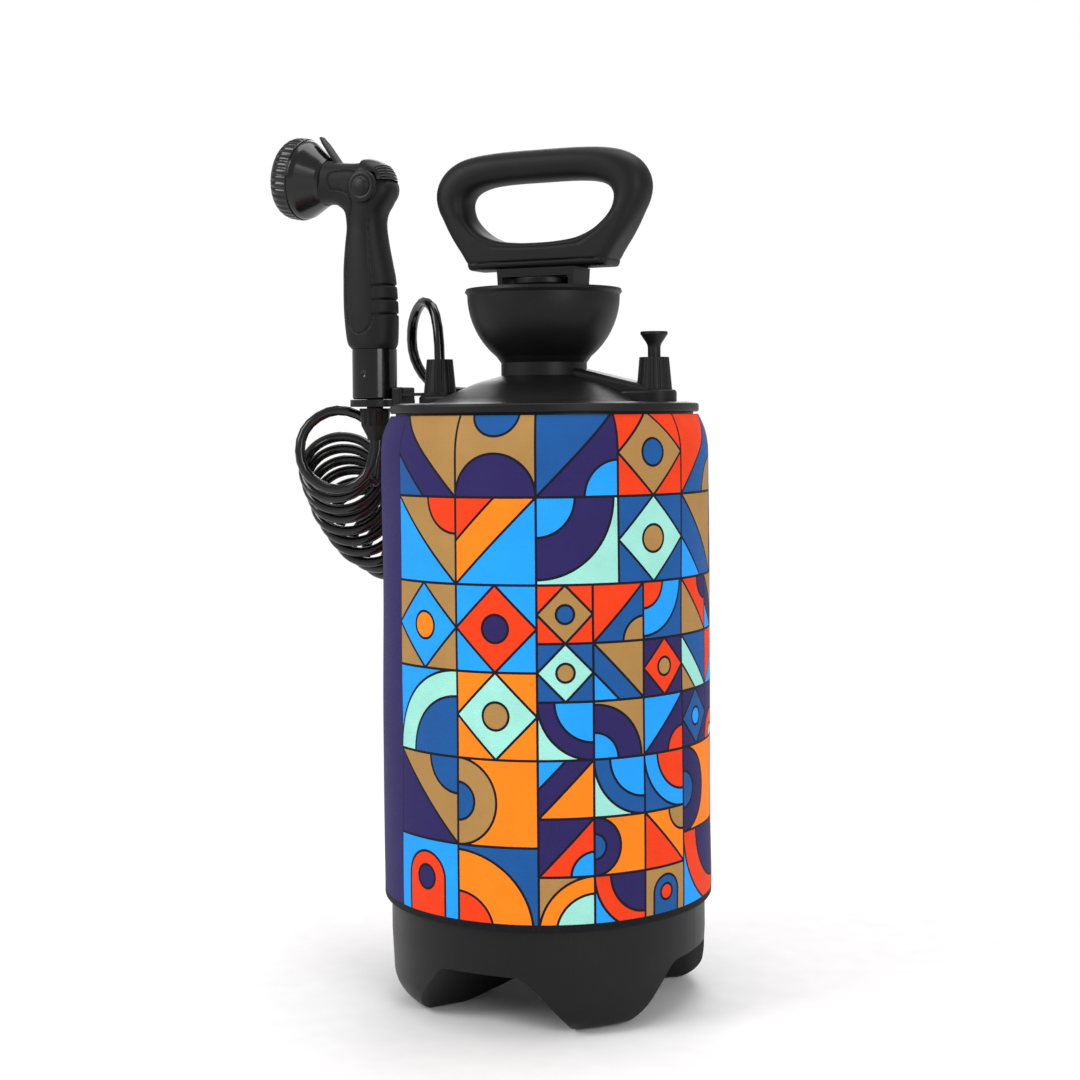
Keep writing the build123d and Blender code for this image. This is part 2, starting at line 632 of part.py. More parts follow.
def make_pump_collar():
    """The screw collar with its flange, hollow tower and two locking lugs."""
    seat = pump_seat()
    flange_top = seat + PUMP_FLANGE_HEIGHT
    plug_bottom = seat - PUMP_PLUG_HEIGHT
    disc_bottom = PUMP_TOWER_TOP - PUMP_DISC_THICKNESS
    flange = fillet(rod(PUMP_FLANGE_RADIUS, seat, flange_top).edges().group_by(Axis.Z)[-1], 2)
    notch = Cylinder(2.2, 2 * PUMP_FLANGE_HEIGHT)
    notches = Pos(0, 0, flange_top) * PolarLocations(PUMP_FLANGE_RADIUS + 1, 10)
    flange = flange - [spot * notch for spot in notches]
    collar = flange + rod(PUMP_PLUG_RADIUS, plug_bottom, seat)
    collar += rod(PUMP_TOWER_RADIUS, seat, disc_bottom)
    lug_band = tube(LOCK_LUG_RADIUS, PUMP_TOWER_BORE, LOCK_LUG_TOP - LOCK_LUG_THICKNESS, LOCK_LUG_TOP)
    lug_box = Box(LOCK_LUG_WIDTH, 4 * LOCK_LUG_RADIUS, 4 * LOCK_LUG_THICKNESS)
    collar += lug_band & Pos(0, 0, LOCK_LUG_TOP) * lug_box
    collar -= rod(BARREL_BORE, plug_bottom, seat)
    return collar - rod(PUMP_TOWER_BORE, plug_bottom, disc_bottom)


def make_rod_guide():
    """The disc on the tower's top that guides the piston rod."""
    bottom = PUMP_TOWER_TOP - PUMP_DISC_THICKNESS
    disc = fillet(rod(PUMP_DISC_RADIUS, bottom, PUMP_TOWER_TOP).edges(), 0.8)
    return disc - rod(ROD_RADIUS + RUNNING_GAP, bottom, PUMP_TOWER_TOP)


def make_pump_gasket():
    """The flat ring between the funnel's floor and the pump collar."""
    return tube(PUMP_FLANGE_RADIUS, NECK_BORE, MOUTH_SEAT, pump_seat())


def make_pump_barrel():
    """The pump's cylinder."""
    top = pump_seat() - PUMP_PLUG_HEIGHT
    return tube(BARREL_RADIUS, BARREL_BORE, BARREL_BOTTOM, top)


def make_foot_valve_seat():
    """The pierced plug that closes the foot of the barrel."""
    top = BARREL_BOTTOM + FOOT_VALVE_HEIGHT
    seat = rod(BARREL_BORE, BARREL_BOTTOM, top) + rod(BARREL_RADIUS, BARREL_BOTTOM - 3, BARREL_BOTTOM)
    hole = Pos(0, 0, BARREL_BOTTOM) * Cylinder(2.2, 4 * FOOT_VALVE_HEIGHT)
    return seat - [spot * hole for spot in PolarLocations(BARREL_BORE * 0.55, FOOT_VALVE_HOLES)]


def make_foot_valve_flap():
    """The rubber disc under the foot valve's holes, held by its own stud."""
    seat_bottom = BARREL_BOTTOM - 3
    flap = rod(BARREL_BORE * 0.8, seat_bottom - FOOT_VALVE_FLAP_THICKNESS, seat_bottom)
    return flap + rod(3, seat_bottom - 3 * FOOT_VALVE_FLAP_THICKNESS, seat_bottom)


def make_piston():
    """The piston, with a groove for its cup seal."""
    top = PISTON_BOTTOM + PISTON_HEIGHT
    groove_bottom = PISTON_BOTTOM + (PISTON_HEIGHT - PISTON_GROOVE_HEIGHT) / 2
    body = rod(PISTON_RADIUS, PISTON_BOTTOM, top)
    groove_top = groove_bottom + PISTON_GROOVE_HEIGHT
    body -= tube(PISTON_RADIUS, PISTON_CORE_RADIUS, groove_bottom, groove_top)
    return body - rod(ROD_RADIUS + RUNNING_GAP, PISTON_BOTTOM, top)


def make_piston_cup_seal():
    """The cup seal in the piston's groove, with its lip on the barrel."""
    bottom = PISTON_BOTTOM + (PISTON_HEIGHT - PISTON_GROOVE_HEIGHT) / 2
    top = bottom + PISTON_GROOVE_HEIGHT
    lip = BARREL_BORE - RUNNING_GAP
    points = (
        (PISTON_CORE_RADIUS, bottom),
        (lip - 0.6, bottom),
        (lip, top - 1),
        (lip - CUP_SEAL_THICKNESS, top - 1),
        (lip - CUP_SEAL_THICKNESS, bottom + CUP_SEAL_THICKNESS),
        (PISTON_CORE_RADIUS, bottom + CUP_SEAL_THICKNESS),
    )
    return turned(points)


def rod_top():
    """Height of the piston rod's upper end, inside the handle's base."""
    return HANDLE_BOTTOM + HANDLE_LEDGE_HEIGHT * 2


def make_piston_rod():
    """The rod between the handle and the piston."""
    bottom = PISTON_BOTTOM - LOOSE_GAP - ROD_NUT_HEIGHT
    return rod(ROD_RADIUS, bottom, rod_top()) - make_handle_pin()


def make_rod_nut():
    """The nut on the rod's lower end, under the piston."""
    top = PISTON_BOTTOM - LOOSE_GAP
    nut = extrude(RegularPolygon(ROD_NUT_WIDTH / 2, 6, major_radius=False), amount=ROD_NUT_HEIGHT)
    return Pos(0, 0, top - ROD_NUT_HEIGHT) * nut - rod(ROD_RADIUS, top - ROD_NUT_HEIGHT, top)


def make_handle_pin():
    """The cross pin that holds the rod in the handle's base."""
    length = HANDLE_THICKNESS * 0.8
    return Pos(0, 0, HANDLE_BOTTOM + HANDLE_LEDGE_HEIGHT) * Rot(90, 0, 0) * Cylinder(HANDLE_PIN_RADIUS, length)


def handle_outline():
    """The outer outline of the D-shaped handle, seen along Y."""
    base = HANDLE_BASE_HALF_WIDTH
    wide = HANDLE_HALF_WIDTH
    waist = HANDLE_BOTTOM + 9
    shoulder = HANDLE_BOTTOM + HANDLE_SHOULDER_HEIGHT
    points = (
        (-base, HANDLE_BOTTOM),
        (base, HANDLE_BOTTOM),
        (base + 2.5, waist),
        (wide + 1.5, shoulder),
        (wide - 6, HANDLE_TOP),
        (6 - wide, HANDLE_TOP),
        (-wide - 1.5, shoulder),
        (-base - 2.5, waist),
    )
    corner = HANDLE_CORNER * 0.62
    radii = (0, 0, 14, corner, corner, corner, corner, 14)
    return make_face(FilletPolyline(points, radius=radii, close=True))


def handle_window():
    """The finger opening of the handle: flat above and broadly curved below."""
    half = HANDLE_WINDOW_HALF_WIDTH
    top = HANDLE_WINDOW_TOP
    bottom = HANDLE_WINDOW_BOTTOM
    low_half = half - HANDLE_WINDOW_TAPER
    points = ((-half, top), (half, top), (low_half, bottom), (-low_half, bottom))
    upper = HANDLE_WINDOW_CORNER
    lower = HANDLE_WINDOW_LOW_CORNER
    return make_face(FilletPolyline(points, radius=(upper, upper, lower, lower), close=True))


def make_handle_grip():
    """The D-shaped handle with soft rounded edges and a groove above its base."""
    profile = handle_outline() - handle_window()
    grip = extrude(Plane.XZ * profile, amount=HANDLE_THICKNESS / 2, both=True)
    faces = grip.faces().filter_by(Axis.Y)
    soft = [edge for edge in faces.edges() if edge.center().Z > HANDLE_BOTTOM + 1]
    grip = fillet(soft, HANDLE_ROUND)
    ledge = HANDLE_BOTTOM + HANDLE_LEDGE_HEIGHT
    width = 4 * HANDLE_BASE_HALF_WIDTH
    inner_depth = HANDLE_THICKNESS - 2 * HANDLE_LEDGE_DEPTH
    band = Box(width, HANDLE_THICKNESS * 2, HANDLE_LEDGE_DEPTH) - Box(width, inner_depth, HANDLE_LEDGE_DEPTH)
    grip -= Pos(0, 0, ledge) * band
    grip -= rod(ROD_RADIUS, HANDLE_BOTTOM, rod_top())
    return grip - make_handle_pin()


def make_handle_skirt():
    """The two legs under the handle, each with a hook that turns under a locking lug."""
    depth = HANDLE_BOTTOM - SKIRT_BOTTOM
    outer = (
        (-SKIRT_TIP_HALF_WIDTH, SKIRT_BOTTOM),
        (SKIRT_TIP_HALF_WIDTH, SKIRT_BOTTOM),
        (SKIRT_HALF_WIDTH, HANDLE_BOTTOM),
        (-SKIRT_HALF_WIDTH, HANDLE_BOTTOM),
    )
    inner = (
        (SKIRT_WALL - SKIRT_TIP_HALF_WIDTH, SKIRT_BOTTOM - depth / 10),
        (SKIRT_TIP_HALF_WIDTH - SKIRT_WALL, SKIRT_BOTTOM - depth / 10),
        (SKIRT_HALF_WIDTH - SKIRT_WALL, HANDLE_BOTTOM - SKIRT_ROOF),
        (SKIRT_WALL - SKIRT_HALF_WIDTH, HANDLE_BOTTOM - SKIRT_ROOF),
    )
    face = make_face(Polyline(outer, close=True)) - make_face(Polyline(inner, close=True))
    skirt = extrude(Plane.XZ * face, amount=SKIRT_DEPTH / 2, both=True)
    reach = SKIRT_TIP_HALF_WIDTH - PUMP_DISC_RADIUS - LOOSE_GAP
    for side in (-1, 1):
        hook = Box(reach, HOOK_WIDTH, HOOK_HEIGHT)
        skirt += Pos(side * (SKIRT_TIP_HALF_WIDTH - reach / 2), 0, SKIRT_BOTTOM + HOOK_HEIGHT / 2) * hook
    return skirt - rod(ROD_RADIUS, SKIRT_BOTTOM, HANDLE_BOTTOM)


def head_place():
    """The place of the spray head: its Z axis runs from the pivot out of the head."""
    direction = (-cos(radians(HEAD_TILT)), 0, sin(radians(HEAD_TILT)))
    return Plane(origin=(PIVOT_X, 0, PIVOT_Z), x_dir=(0, 1, 0), z_dir=direction)


def grip_form():
    """The whole rigid form of the grip, ball and neck, before the inlays are let in."""
    sections = []
    for height, centre, half_depth, half_width in GRIP_STATIONS:
        section = Ellipse(half_depth, half_width)
        sections.append(Pos(HOLDER_X + centre, 0, EDGE_HEIGHT + height) * section)
    form = loft(sections)
    flat_ball = Sphere(BALL_RADIUS) & Box(4 * BALL_RADIUS, 2 * NECK_TUBE_END_RADIUS, 4 * BALL_RADIUS)
    form += Pos(BALL_X, 0, PIVOT_Z) * flat_ball
    neck_length = HEAD_LENGTH - RING_WIDTH - BELL_LENGTH
    neck = Cone(
        NECK_TUBE_RADIUS,
        NECK_TUBE_END_RADIUS,
        neck_length,
        align=(Align.CENTER, Align.CENTER, Align.MIN),
    )
    form += head_place() * neck
    joint = Cylinder(NECK_TUBE_RADIUS, BALL_X - PIVOT_X, align=(Align.CENTER, Align.CENTER, Align.MAX))
    return form + head_place() * joint


def inlay_outline():
    """The side panel's outline along the front of the grip, seen along Y."""
    points = (
        (HOLDER_X - 18.1, EDGE_HEIGHT + 56),
        (HOLDER_X - 6.1, EDGE_HEIGHT + 56),
        (HOLDER_X - 8.1, EDGE_HEIGHT + 125),
        (HOLDER_X - 9.1, EDGE_HEIGHT + 134),
        (HOLDER_X - 17.1, EDGE_HEIGHT + 134),
        (HOLDER_X - 19.1, EDGE_HEIGHT + 122),
        (HOLDER_X - 19.6, EDGE_HEIGHT + 85),
    )
    return make_face(FilletPolyline(points, radius=(5, 5, 0, 2, 2, 0, 0), close=True))


def make_inlay(form, side):
    """One soft panel let flush into the side of the grip."""
    prism = extrude(Plane.XZ * inlay_outline(), amount=-side * 2 * CONNECTOR_RADIUS)
    return (form & prism) - Pos(0, -side * INLAY_DEPTH, 0) * form


def make_handset_grip(form, inlays):
    """The grip with finger grooves, room for the inlays and the bore of the lever pin."""
    grip = form - inlays
    for height in (64, 73, 82):
        groove = Box(12, 4 * CONNECTOR_RADIUS, 1.2)
        grip -= Pos(HOLDER_X + 20.9, 0, EDGE_HEIGHT + height) * groove
    return grip - make_lever_pin()


def make_handset_connector():
    """The smooth coupling between the holder's ring and the grip."""
    height = CONNECTOR_TOP - HANDSET_SEAT
    body = rod(CONNECTOR_RADIUS, HANDSET_SEAT, CONNECTOR_TOP)
    body = fillet(body.edges().group_by(Axis.Z)[0], CONNECTOR_BOTTOM_ROUND)
    dimple = Sphere(4)
    body -= Pos(0, -CONNECTOR_RADIUS - 3, HANDSET_SEAT + height / 2) * dimple
    body -= rod(HOSE_NUT_NECK_RADIUS, HANDSET_SEAT, HANDSET_SEAT + height / 3)
    return Pos(HOLDER_X, 0, 0) * body


def make_hose_nut():
    """The ribbed nut under the holder's ring, with its tapered tail round the hose."""
    collar_top = HOLDER_PLATE_BOTTOM - 1
    rib_bottom = EDGE_HEIGHT - 5.6
    tail_bottom = EDGE_HEIGHT - 15
    neck = rod(HOSE_NUT_NECK_RADIUS, collar_top, HANDSET_SEAT + (CONNECTOR_TOP - HANDSET_SEAT) / 3)
    collar = rod(HOSE_NUT_COLLAR_RADIUS, collar_top - 1.6, collar_top)
    ribs = ribbed_cone(
        HOSE_NUT_LOW_RADIUS,
        HOSE_NUT_RADIUS,
        rib_bottom,
        collar_top - 1.6 - rib_bottom,
        NUT_GROOVES,
        NUT_GROOVE_RADIUS,
    )
    tail_points = (
        (0, tail_bottom),
        (HOSE_NUT_NECK_RADIUS - 0.4, tail_bottom),
        (HOSE_NUT_NECK_RADIUS, rib_bottom - 7),
        (HOSE_NUT_LOW_RADIUS, rib_bottom),
        (0, rib_bottom),
    )
    nut = neck + collar + ribs + turned(tail_points, (0, 0.5, 4, 0, 0))
    socket_top = EDGE_HEIGHT + HANDSET_ROUTE[0][2] + LOOSE_GAP
    nut -= rod(HOSE_RADIUS + LOOSE_GAP, tail_bottom, socket_top)
    return Pos(HOLDER_X, 0, 0) * (nut - rod(STUB_BORE, socket_top, CONNECTOR_TOP))


def bell_front():
    """Distance from the pivot to the bell's rim."""
    return HEAD_LENGTH - RING_WIDTH


def make_spray_bell():
    """The bell behind the spray ring, with the hollow spigot that the ring turns on."""
    rim = bell_front()
    back = rim - BELL_LENGTH
    spigot = RING_RADIUS - RING_WALL - RUNNING_GAP
    points = (
        (0, back),
        (NECK_TUBE_END_RADIUS + 0.8, back),
        (NECK_TUBE_END_RADIUS + 2, back + 2),
        (BELL_RADIUS, rim - 6),
        (BELL_RADIUS, rim - LOOSE_GAP),
        (spigot, rim - LOOSE_GAP),
        (spigot, rim + BELL_SPIGOT_LENGTH),
        (spigot - RING_WALL, rim + BELL_SPIGOT_LENGTH),
        (spigot - RING_WALL, rim - 3),
        (8, back + 6),
        (0, back + 6),
    )
    return head_place() * turned(points, (0, 0, 3, 7, 0.5, 0, 0, 0, 4, 0, 0))


def face_height(radius):
    """Distance from the pivot to the domed front of the head at a radius."""
    return HEAD_LENGTH - FACE_DOME_RADIUS + (FACE_DOME_RADIUS**2 - radius**2) ** 0.5


def make_spray_ring():
    """The ribbed ring that turns on the bell's spigot."""
    rim = bell_front()
    inner = RING_RADIUS - RING_WALL
    front = face_height(RING_RADIUS)
    points = (
        (inner, rim),
        (RING_RADIUS, rim),
        (RING_RADIUS, front),
        (inner, face_height(inner)),
    )
    ring = turned(points, (0, 0.6, FACE_EDGE_ROUND, 0))
    groove = Cylinder(RING_GROOVE_RADIUS, front - rim - 3)
    spots = Pos(0, 0, (rim + front) / 2 - 0.4) * PolarLocations(RING_RADIUS + 0.4, RING_GROOVES)
    return head_place() * (ring - [spot * groove for spot in spots])


def make_spray_plate():
    """The pierced domed plate in the front of the spray ring."""
    rim = RING_RADIUS - RING_WALL
    block = rod(rim, face_height(rim) - PLATE_THICKNESS, HEAD_LENGTH)
    centre = Pos(0, 0, HEAD_LENGTH - FACE_DOME_RADIUS)
    plate = block & centre * Sphere(FACE_DOME_RADIUS) - centre * Sphere(FACE_DOME_RADIUS - PLATE_THICKNESS)
    hole = Cylinder(PLATE_HOLE_RADIUS, 12 * PLATE_THICKNESS)
    for count, radius in PLATE_HOLE_CIRCLES:
        spots = Pos(0, 0, HEAD_LENGTH) * PolarLocations(radius, count)
        plate = plate - [spot * hole for spot in spots]
    return head_place() * plate


def make_hook_tab():
    """The flat tab that stands behind the bell on top of the neck."""
    back = bell_front() - BELL_LENGTH
    foot = Box(TAB_WIDTH, TAB_THICKNESS, 5, align=(Align.CENTER, Align.MIN, Align.CENTER))
    blade = Box(TAB_WIDTH, TAB_THICKNESS, TAB_LENGTH, align=(Align.CENTER, Align.CENTER, Align.MIN))
    tab = Pos(0, NECK_TUBE_END_RADIUS, back - 4) * foot
    tab += Pos(0, NECK_TUBE_END_RADIUS + 1, back - 6) * Rot(-TAB_LEAN, 0, 0) * blade
    neck = head_place() * Pos(0, 0, back - 20) * rod(NECK_TUBE_END_RADIUS, 0, 20)
    return head_place() * Rot(0, 0, -90) * tab - neck


def lever_inner_y():
    """Distance from the middle plane to the inside of the lever's arms."""
    return NECK_TUBE_END_RADIUS + LEVER_GAP


def make_thumb_lever():
    """The yoke over the ball, with an arm and a pivot ring on each side."""
    inner = lever_inner_y()
    shell_inner = BALL_RADIUS + LEVER_SHELL_GAP
    shell_outer = shell_inner + LEVER_SHELL
    width = 2 * (inner + LEVER_PLATE)
    band = Rot(90, 0, 0) * (Cylinder(shell_outer, width) - Cylinder(shell_inner, width))
    wedge_points = ((0, 0), (60, 12), (60, 60), (-LEVER_FRONT, 60), (-LEVER_FRONT, 8))
    wedge = extrude(Plane.XZ * make_face(Polyline(wedge_points, close=True)), amount=width, both=True)
    pad = Pos(BALL_X, 0, PIVOT_Z) * (band & wedge)
    arm_points = (
        (PIVOT_X - LEVER_RING_RADIUS * 0.8, PIVOT_Z + 2),
        (PIVOT_X + LEVER_RING_RADIUS * 0.9, PIVOT_Z),
        (BALL_X + 12, PIVOT_Z + 12),
        (BALL_X + 8, PIVOT_Z + 16.5),
        (BALL_X - LEVER_FRONT, PIVOT_Z + 18),
    )
    arm_face = make_face(Polyline(arm_points, close=True))
    lever = pad
    for side in (-1, 1):
        outline = arm_face + Pos(PIVOT_X, PIVOT_Z) * Circle(LEVER_RING_RADIUS)
        plate = extrude(Plane.XZ * outline, amount=LEVER_PLATE / 2, both=True)
        lever += Pos(0, side * (inner + LEVER_PLATE / 2), 0) * plate
    return lever - Pos(PIVOT_X, 0, PIVOT_Z) * Rot(90, 0, 0) * Cylinder(
        LEVER_PIN_RADIUS + RUNNING_GAP, 2 * width
    )


def make_lever_pin():
    """The pin across the neck that the thumb lever turns on, with its round heads."""
    head_inner = lever_inner_y() + LEVER_PLATE + RUNNING_GAP
    head_outer = head_inner + LEVER_PIN_HEAD_HEIGHT
    pin = Cylinder(LEVER_PIN_RADIUS, 2 * head_outer)
    head = Cylinder(LEVER_PIN_HEAD_RADIUS, LEVER_PIN_HEAD_HEIGHT)
    middle = (head_inner + head_outer) / 2
    pin += Pos(0, 0, middle) * head
    pin += Pos(0, 0, -middle) * head
    return Pos(PIVOT_X, 0, PIVOT_Z) * Rot(90, 0, 0) * pin


def route_path(name, route):
    """A path of straight runs joined by arcs as large as their runs allow."""
    points = [Vector(x, y, EDGE_HEIGHT + z) for x, y, z in route]
    radii = []
    for before, point, after in zip(points, points[1:], points[2:]):
        shorter = min((point - before).length, (after - point).length)
        turn = radians((point - before).get_angle(after - point))
        radii.append(RUN_SHARE * shorter / tan(turn / 2))
    print(name, "radii:", [round(radius, 1) for radius in radii])
    return FilletPolyline(points, radius=radii)


def hose_tube(name, route, radius):
    """A plain round tube along a route."""
    path = route_path(name, route)
    tube_solid = sweep(Plane(origin=path @ 0, z_dir=path % 0) * Circle(radius), path=path)
    swept = pi * radius * radius * path.length
    print(name, "length:", round(path.length, 1), "volume ratio:", round(tube_solid.volume / swept, 4))
    return tube_solid


def build():
    """Every piece by its name, about the tank's axis."""
    form = grip_form()
    inlays = {"inlay_near": make_inlay(form, -1), "inlay_far": make_inlay(form, 1)}
    outlet = Pos(-FITTING_RADIUS, 0, 0)
    relief = Pos(FITTING_RADIUS, 0, 0)
    return {
        "tank": make_tank(),
        "sleeve": make_sleeve(),
        "outlet_stub": outlet * make_outlet_stub(),
        "outlet_gasket": outlet * make_outlet_gasket(),
        "outlet_nut": outlet * make_outlet_nut(),
        "dip_tube": outlet * make_dip_tube(),
        "dip_filter": outlet * make_dip_filter(),
        "holder_bracket": make_holder_bracket(),
        "relief_body": relief * make_relief_body(),
        "relief_gasket": relief * make_relief_gasket(),
        "relief_nut": relief * make_relief_nut(),
        "relief_stem": relief * make_relief_stem(),
        "relief_o_ring": relief * make_relief_o_ring(),
        "relief_spring": relief * make_relief_spring(),
        "pump_collar": make_pump_collar(),
        "rod_guide": make_rod_guide(),
        "pump_gasket": make_pump_gasket(),
        "pump_barrel": make_pump_barrel(),
        "foot_valve_seat": make_foot_valve_seat(),
        "foot_valve_flap": make_foot_valve_flap(),
        "piston": make_piston(),
        "piston_cup_seal": make_piston_cup_seal(),
        "piston_rod": make_piston_rod(),
        "rod_nut": make_rod_nut(),
        "handle_grip": make_handle_grip(),
        "handle_skirt": make_handle_skirt(),
        "handle_pin": make_handle_pin(),
        "handset_grip": make_handset_grip(form, list(inlays.values())),
        "inlay_near": inlays["inlay_near"],
        "inlay_far": inlays["inlay_far"],
        "handset_connector": make_handset_connector(),
        "hose_nut": make_hose_nut(),
        "spray_bell": make_spray_bell(),
        "spray_ring": make_spray_ring(),
        "spray_plate": make_spray_plate(),
        "hook_tab": make_hook_tab(),
        "thumb_lever": make_thumb_lever(),
        "lever_pin": make_lever_pin(),
        "hose_outlet_lead": hose_tube("hose_outlet_lead", OUTLET_ROUTE, HOSE_RADIUS),
        "hose_coil": hose_tube("hose_coil", COIL_ROUTE, COIL_RADIUS),
        "hose_handset_lead": hose_tube("hose_handset_lead", HANDSET_ROUTE, HOSE_RADIUS),
    }


os.makedirs("parts", exist_ok=True)
for node_name, shape in build().items():
    export_step(Pos(AXIS_X, 0, 0) * shape, f"parts/{node_name}.step")
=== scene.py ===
import json
import logging
import math
from dataclasses import dataclass, field
from enum import Enum

import bmesh
import bpy
import numpy as np
from mathutils import Euler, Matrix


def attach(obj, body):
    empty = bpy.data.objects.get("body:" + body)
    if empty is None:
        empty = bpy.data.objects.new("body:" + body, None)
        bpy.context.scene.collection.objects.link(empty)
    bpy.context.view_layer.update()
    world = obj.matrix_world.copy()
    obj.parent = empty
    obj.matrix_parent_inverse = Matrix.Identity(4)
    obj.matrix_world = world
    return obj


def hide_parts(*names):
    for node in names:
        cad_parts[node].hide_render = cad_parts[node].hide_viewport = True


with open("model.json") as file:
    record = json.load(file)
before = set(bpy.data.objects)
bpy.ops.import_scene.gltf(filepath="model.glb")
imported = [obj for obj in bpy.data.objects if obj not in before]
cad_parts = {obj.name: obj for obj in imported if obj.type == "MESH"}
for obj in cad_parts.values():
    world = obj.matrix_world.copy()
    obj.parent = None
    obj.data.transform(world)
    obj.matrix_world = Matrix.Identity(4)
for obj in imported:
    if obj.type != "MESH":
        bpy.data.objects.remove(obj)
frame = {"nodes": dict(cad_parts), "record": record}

LOG = logging.getLogger("portable_shower")
MM = 0.001
AXIS_X = 43.919
EDGE = 345.0
Colour = tuple[float, float, float]
Point = tuple[float, float, float]


def row_points(points: np.ndarray) -> np.ndarray:
    """Turns points about the tank's axis, in millimetres, into metres in the row frame.

    Args:
        points: An array whose last axis is x, y, z.

    Returns:
        The moved and scaled array.
    """
    return (np.asarray(points, float) + (AXIS_X, 0.0, 0.0)) * MM


def ease(share: np.ndarray | float) -> np.ndarray | float:
    """The smooth step 3t^2 - 2t^3 of a share held between 0 and 1."""
    held = np.clip(share, 0.0, 1.0)
    return held * held * (3 - 2 * held)


def through(points: np.ndarray, count: int, closed: bool = False) -> np.ndarray:
    """A smooth Catmull-Rom curve through some points, with its steps equally long.

    Args:
        points: The points, of any dimension.
        count: How many points the curve gets.
        closed: Whether the curve closes on itself.

    Returns:
        The curve's points; a closed curve doesn't repeat its first one.
    """
    points = np.asarray(points, float)
    if closed:
        full = np.concatenate([points[-1:], points, points[:2]])
    else:
        full = np.concatenate([2 * points[:1] - points[1:2], points, 2 * points[-1:] - points[-2:-1]])
    spans = len(full) - 3
    place = np.linspace(0, spans, 24 * spans + 1)
    index = np.minimum(place.astype(int), spans - 1)
    t = (place - index)[:, None]
    a, b, c, d = (full[index + k] for k in range(4))
    dense = 0.5 * (2 * b + (c - a) * t + (2 * a - 5 * b + 4 * c - d) * t ** 2 + (3 * b - a - 3 * c + d) * t ** 3)
    run = np.concatenate([[0.0], np.cumsum(np.linalg.norm(np.diff(dense, axis=0), axis=1))])
    marks = np.linspace(0, run[-1], count, endpoint=not closed)
    return np.stack([np.interp(marks, run, column) for column in dense.T], axis=1)


def squircle(power: float, count: int) -> np.ndarray:
    """The closed curve |x|^power + |y|^power = 1, with its steps equally long."""
    angle = np.linspace(0, 2 * math.pi, 721)
    dense = np.stack([np.sign(f(angle)) * np.abs(f(angle)) ** (2 / power) for f in (np.cos, np.sin)], axis=1)
    run = np.concatenate([[0.0], np.cumsum(np.linalg.norm(np.diff(dense, axis=0), axis=1))])
    marks = np.linspace(0, run[-1], count, endpoint=False)
    return np.stack([np.interp(marks, run, column) for column in dense.T], axis=1)


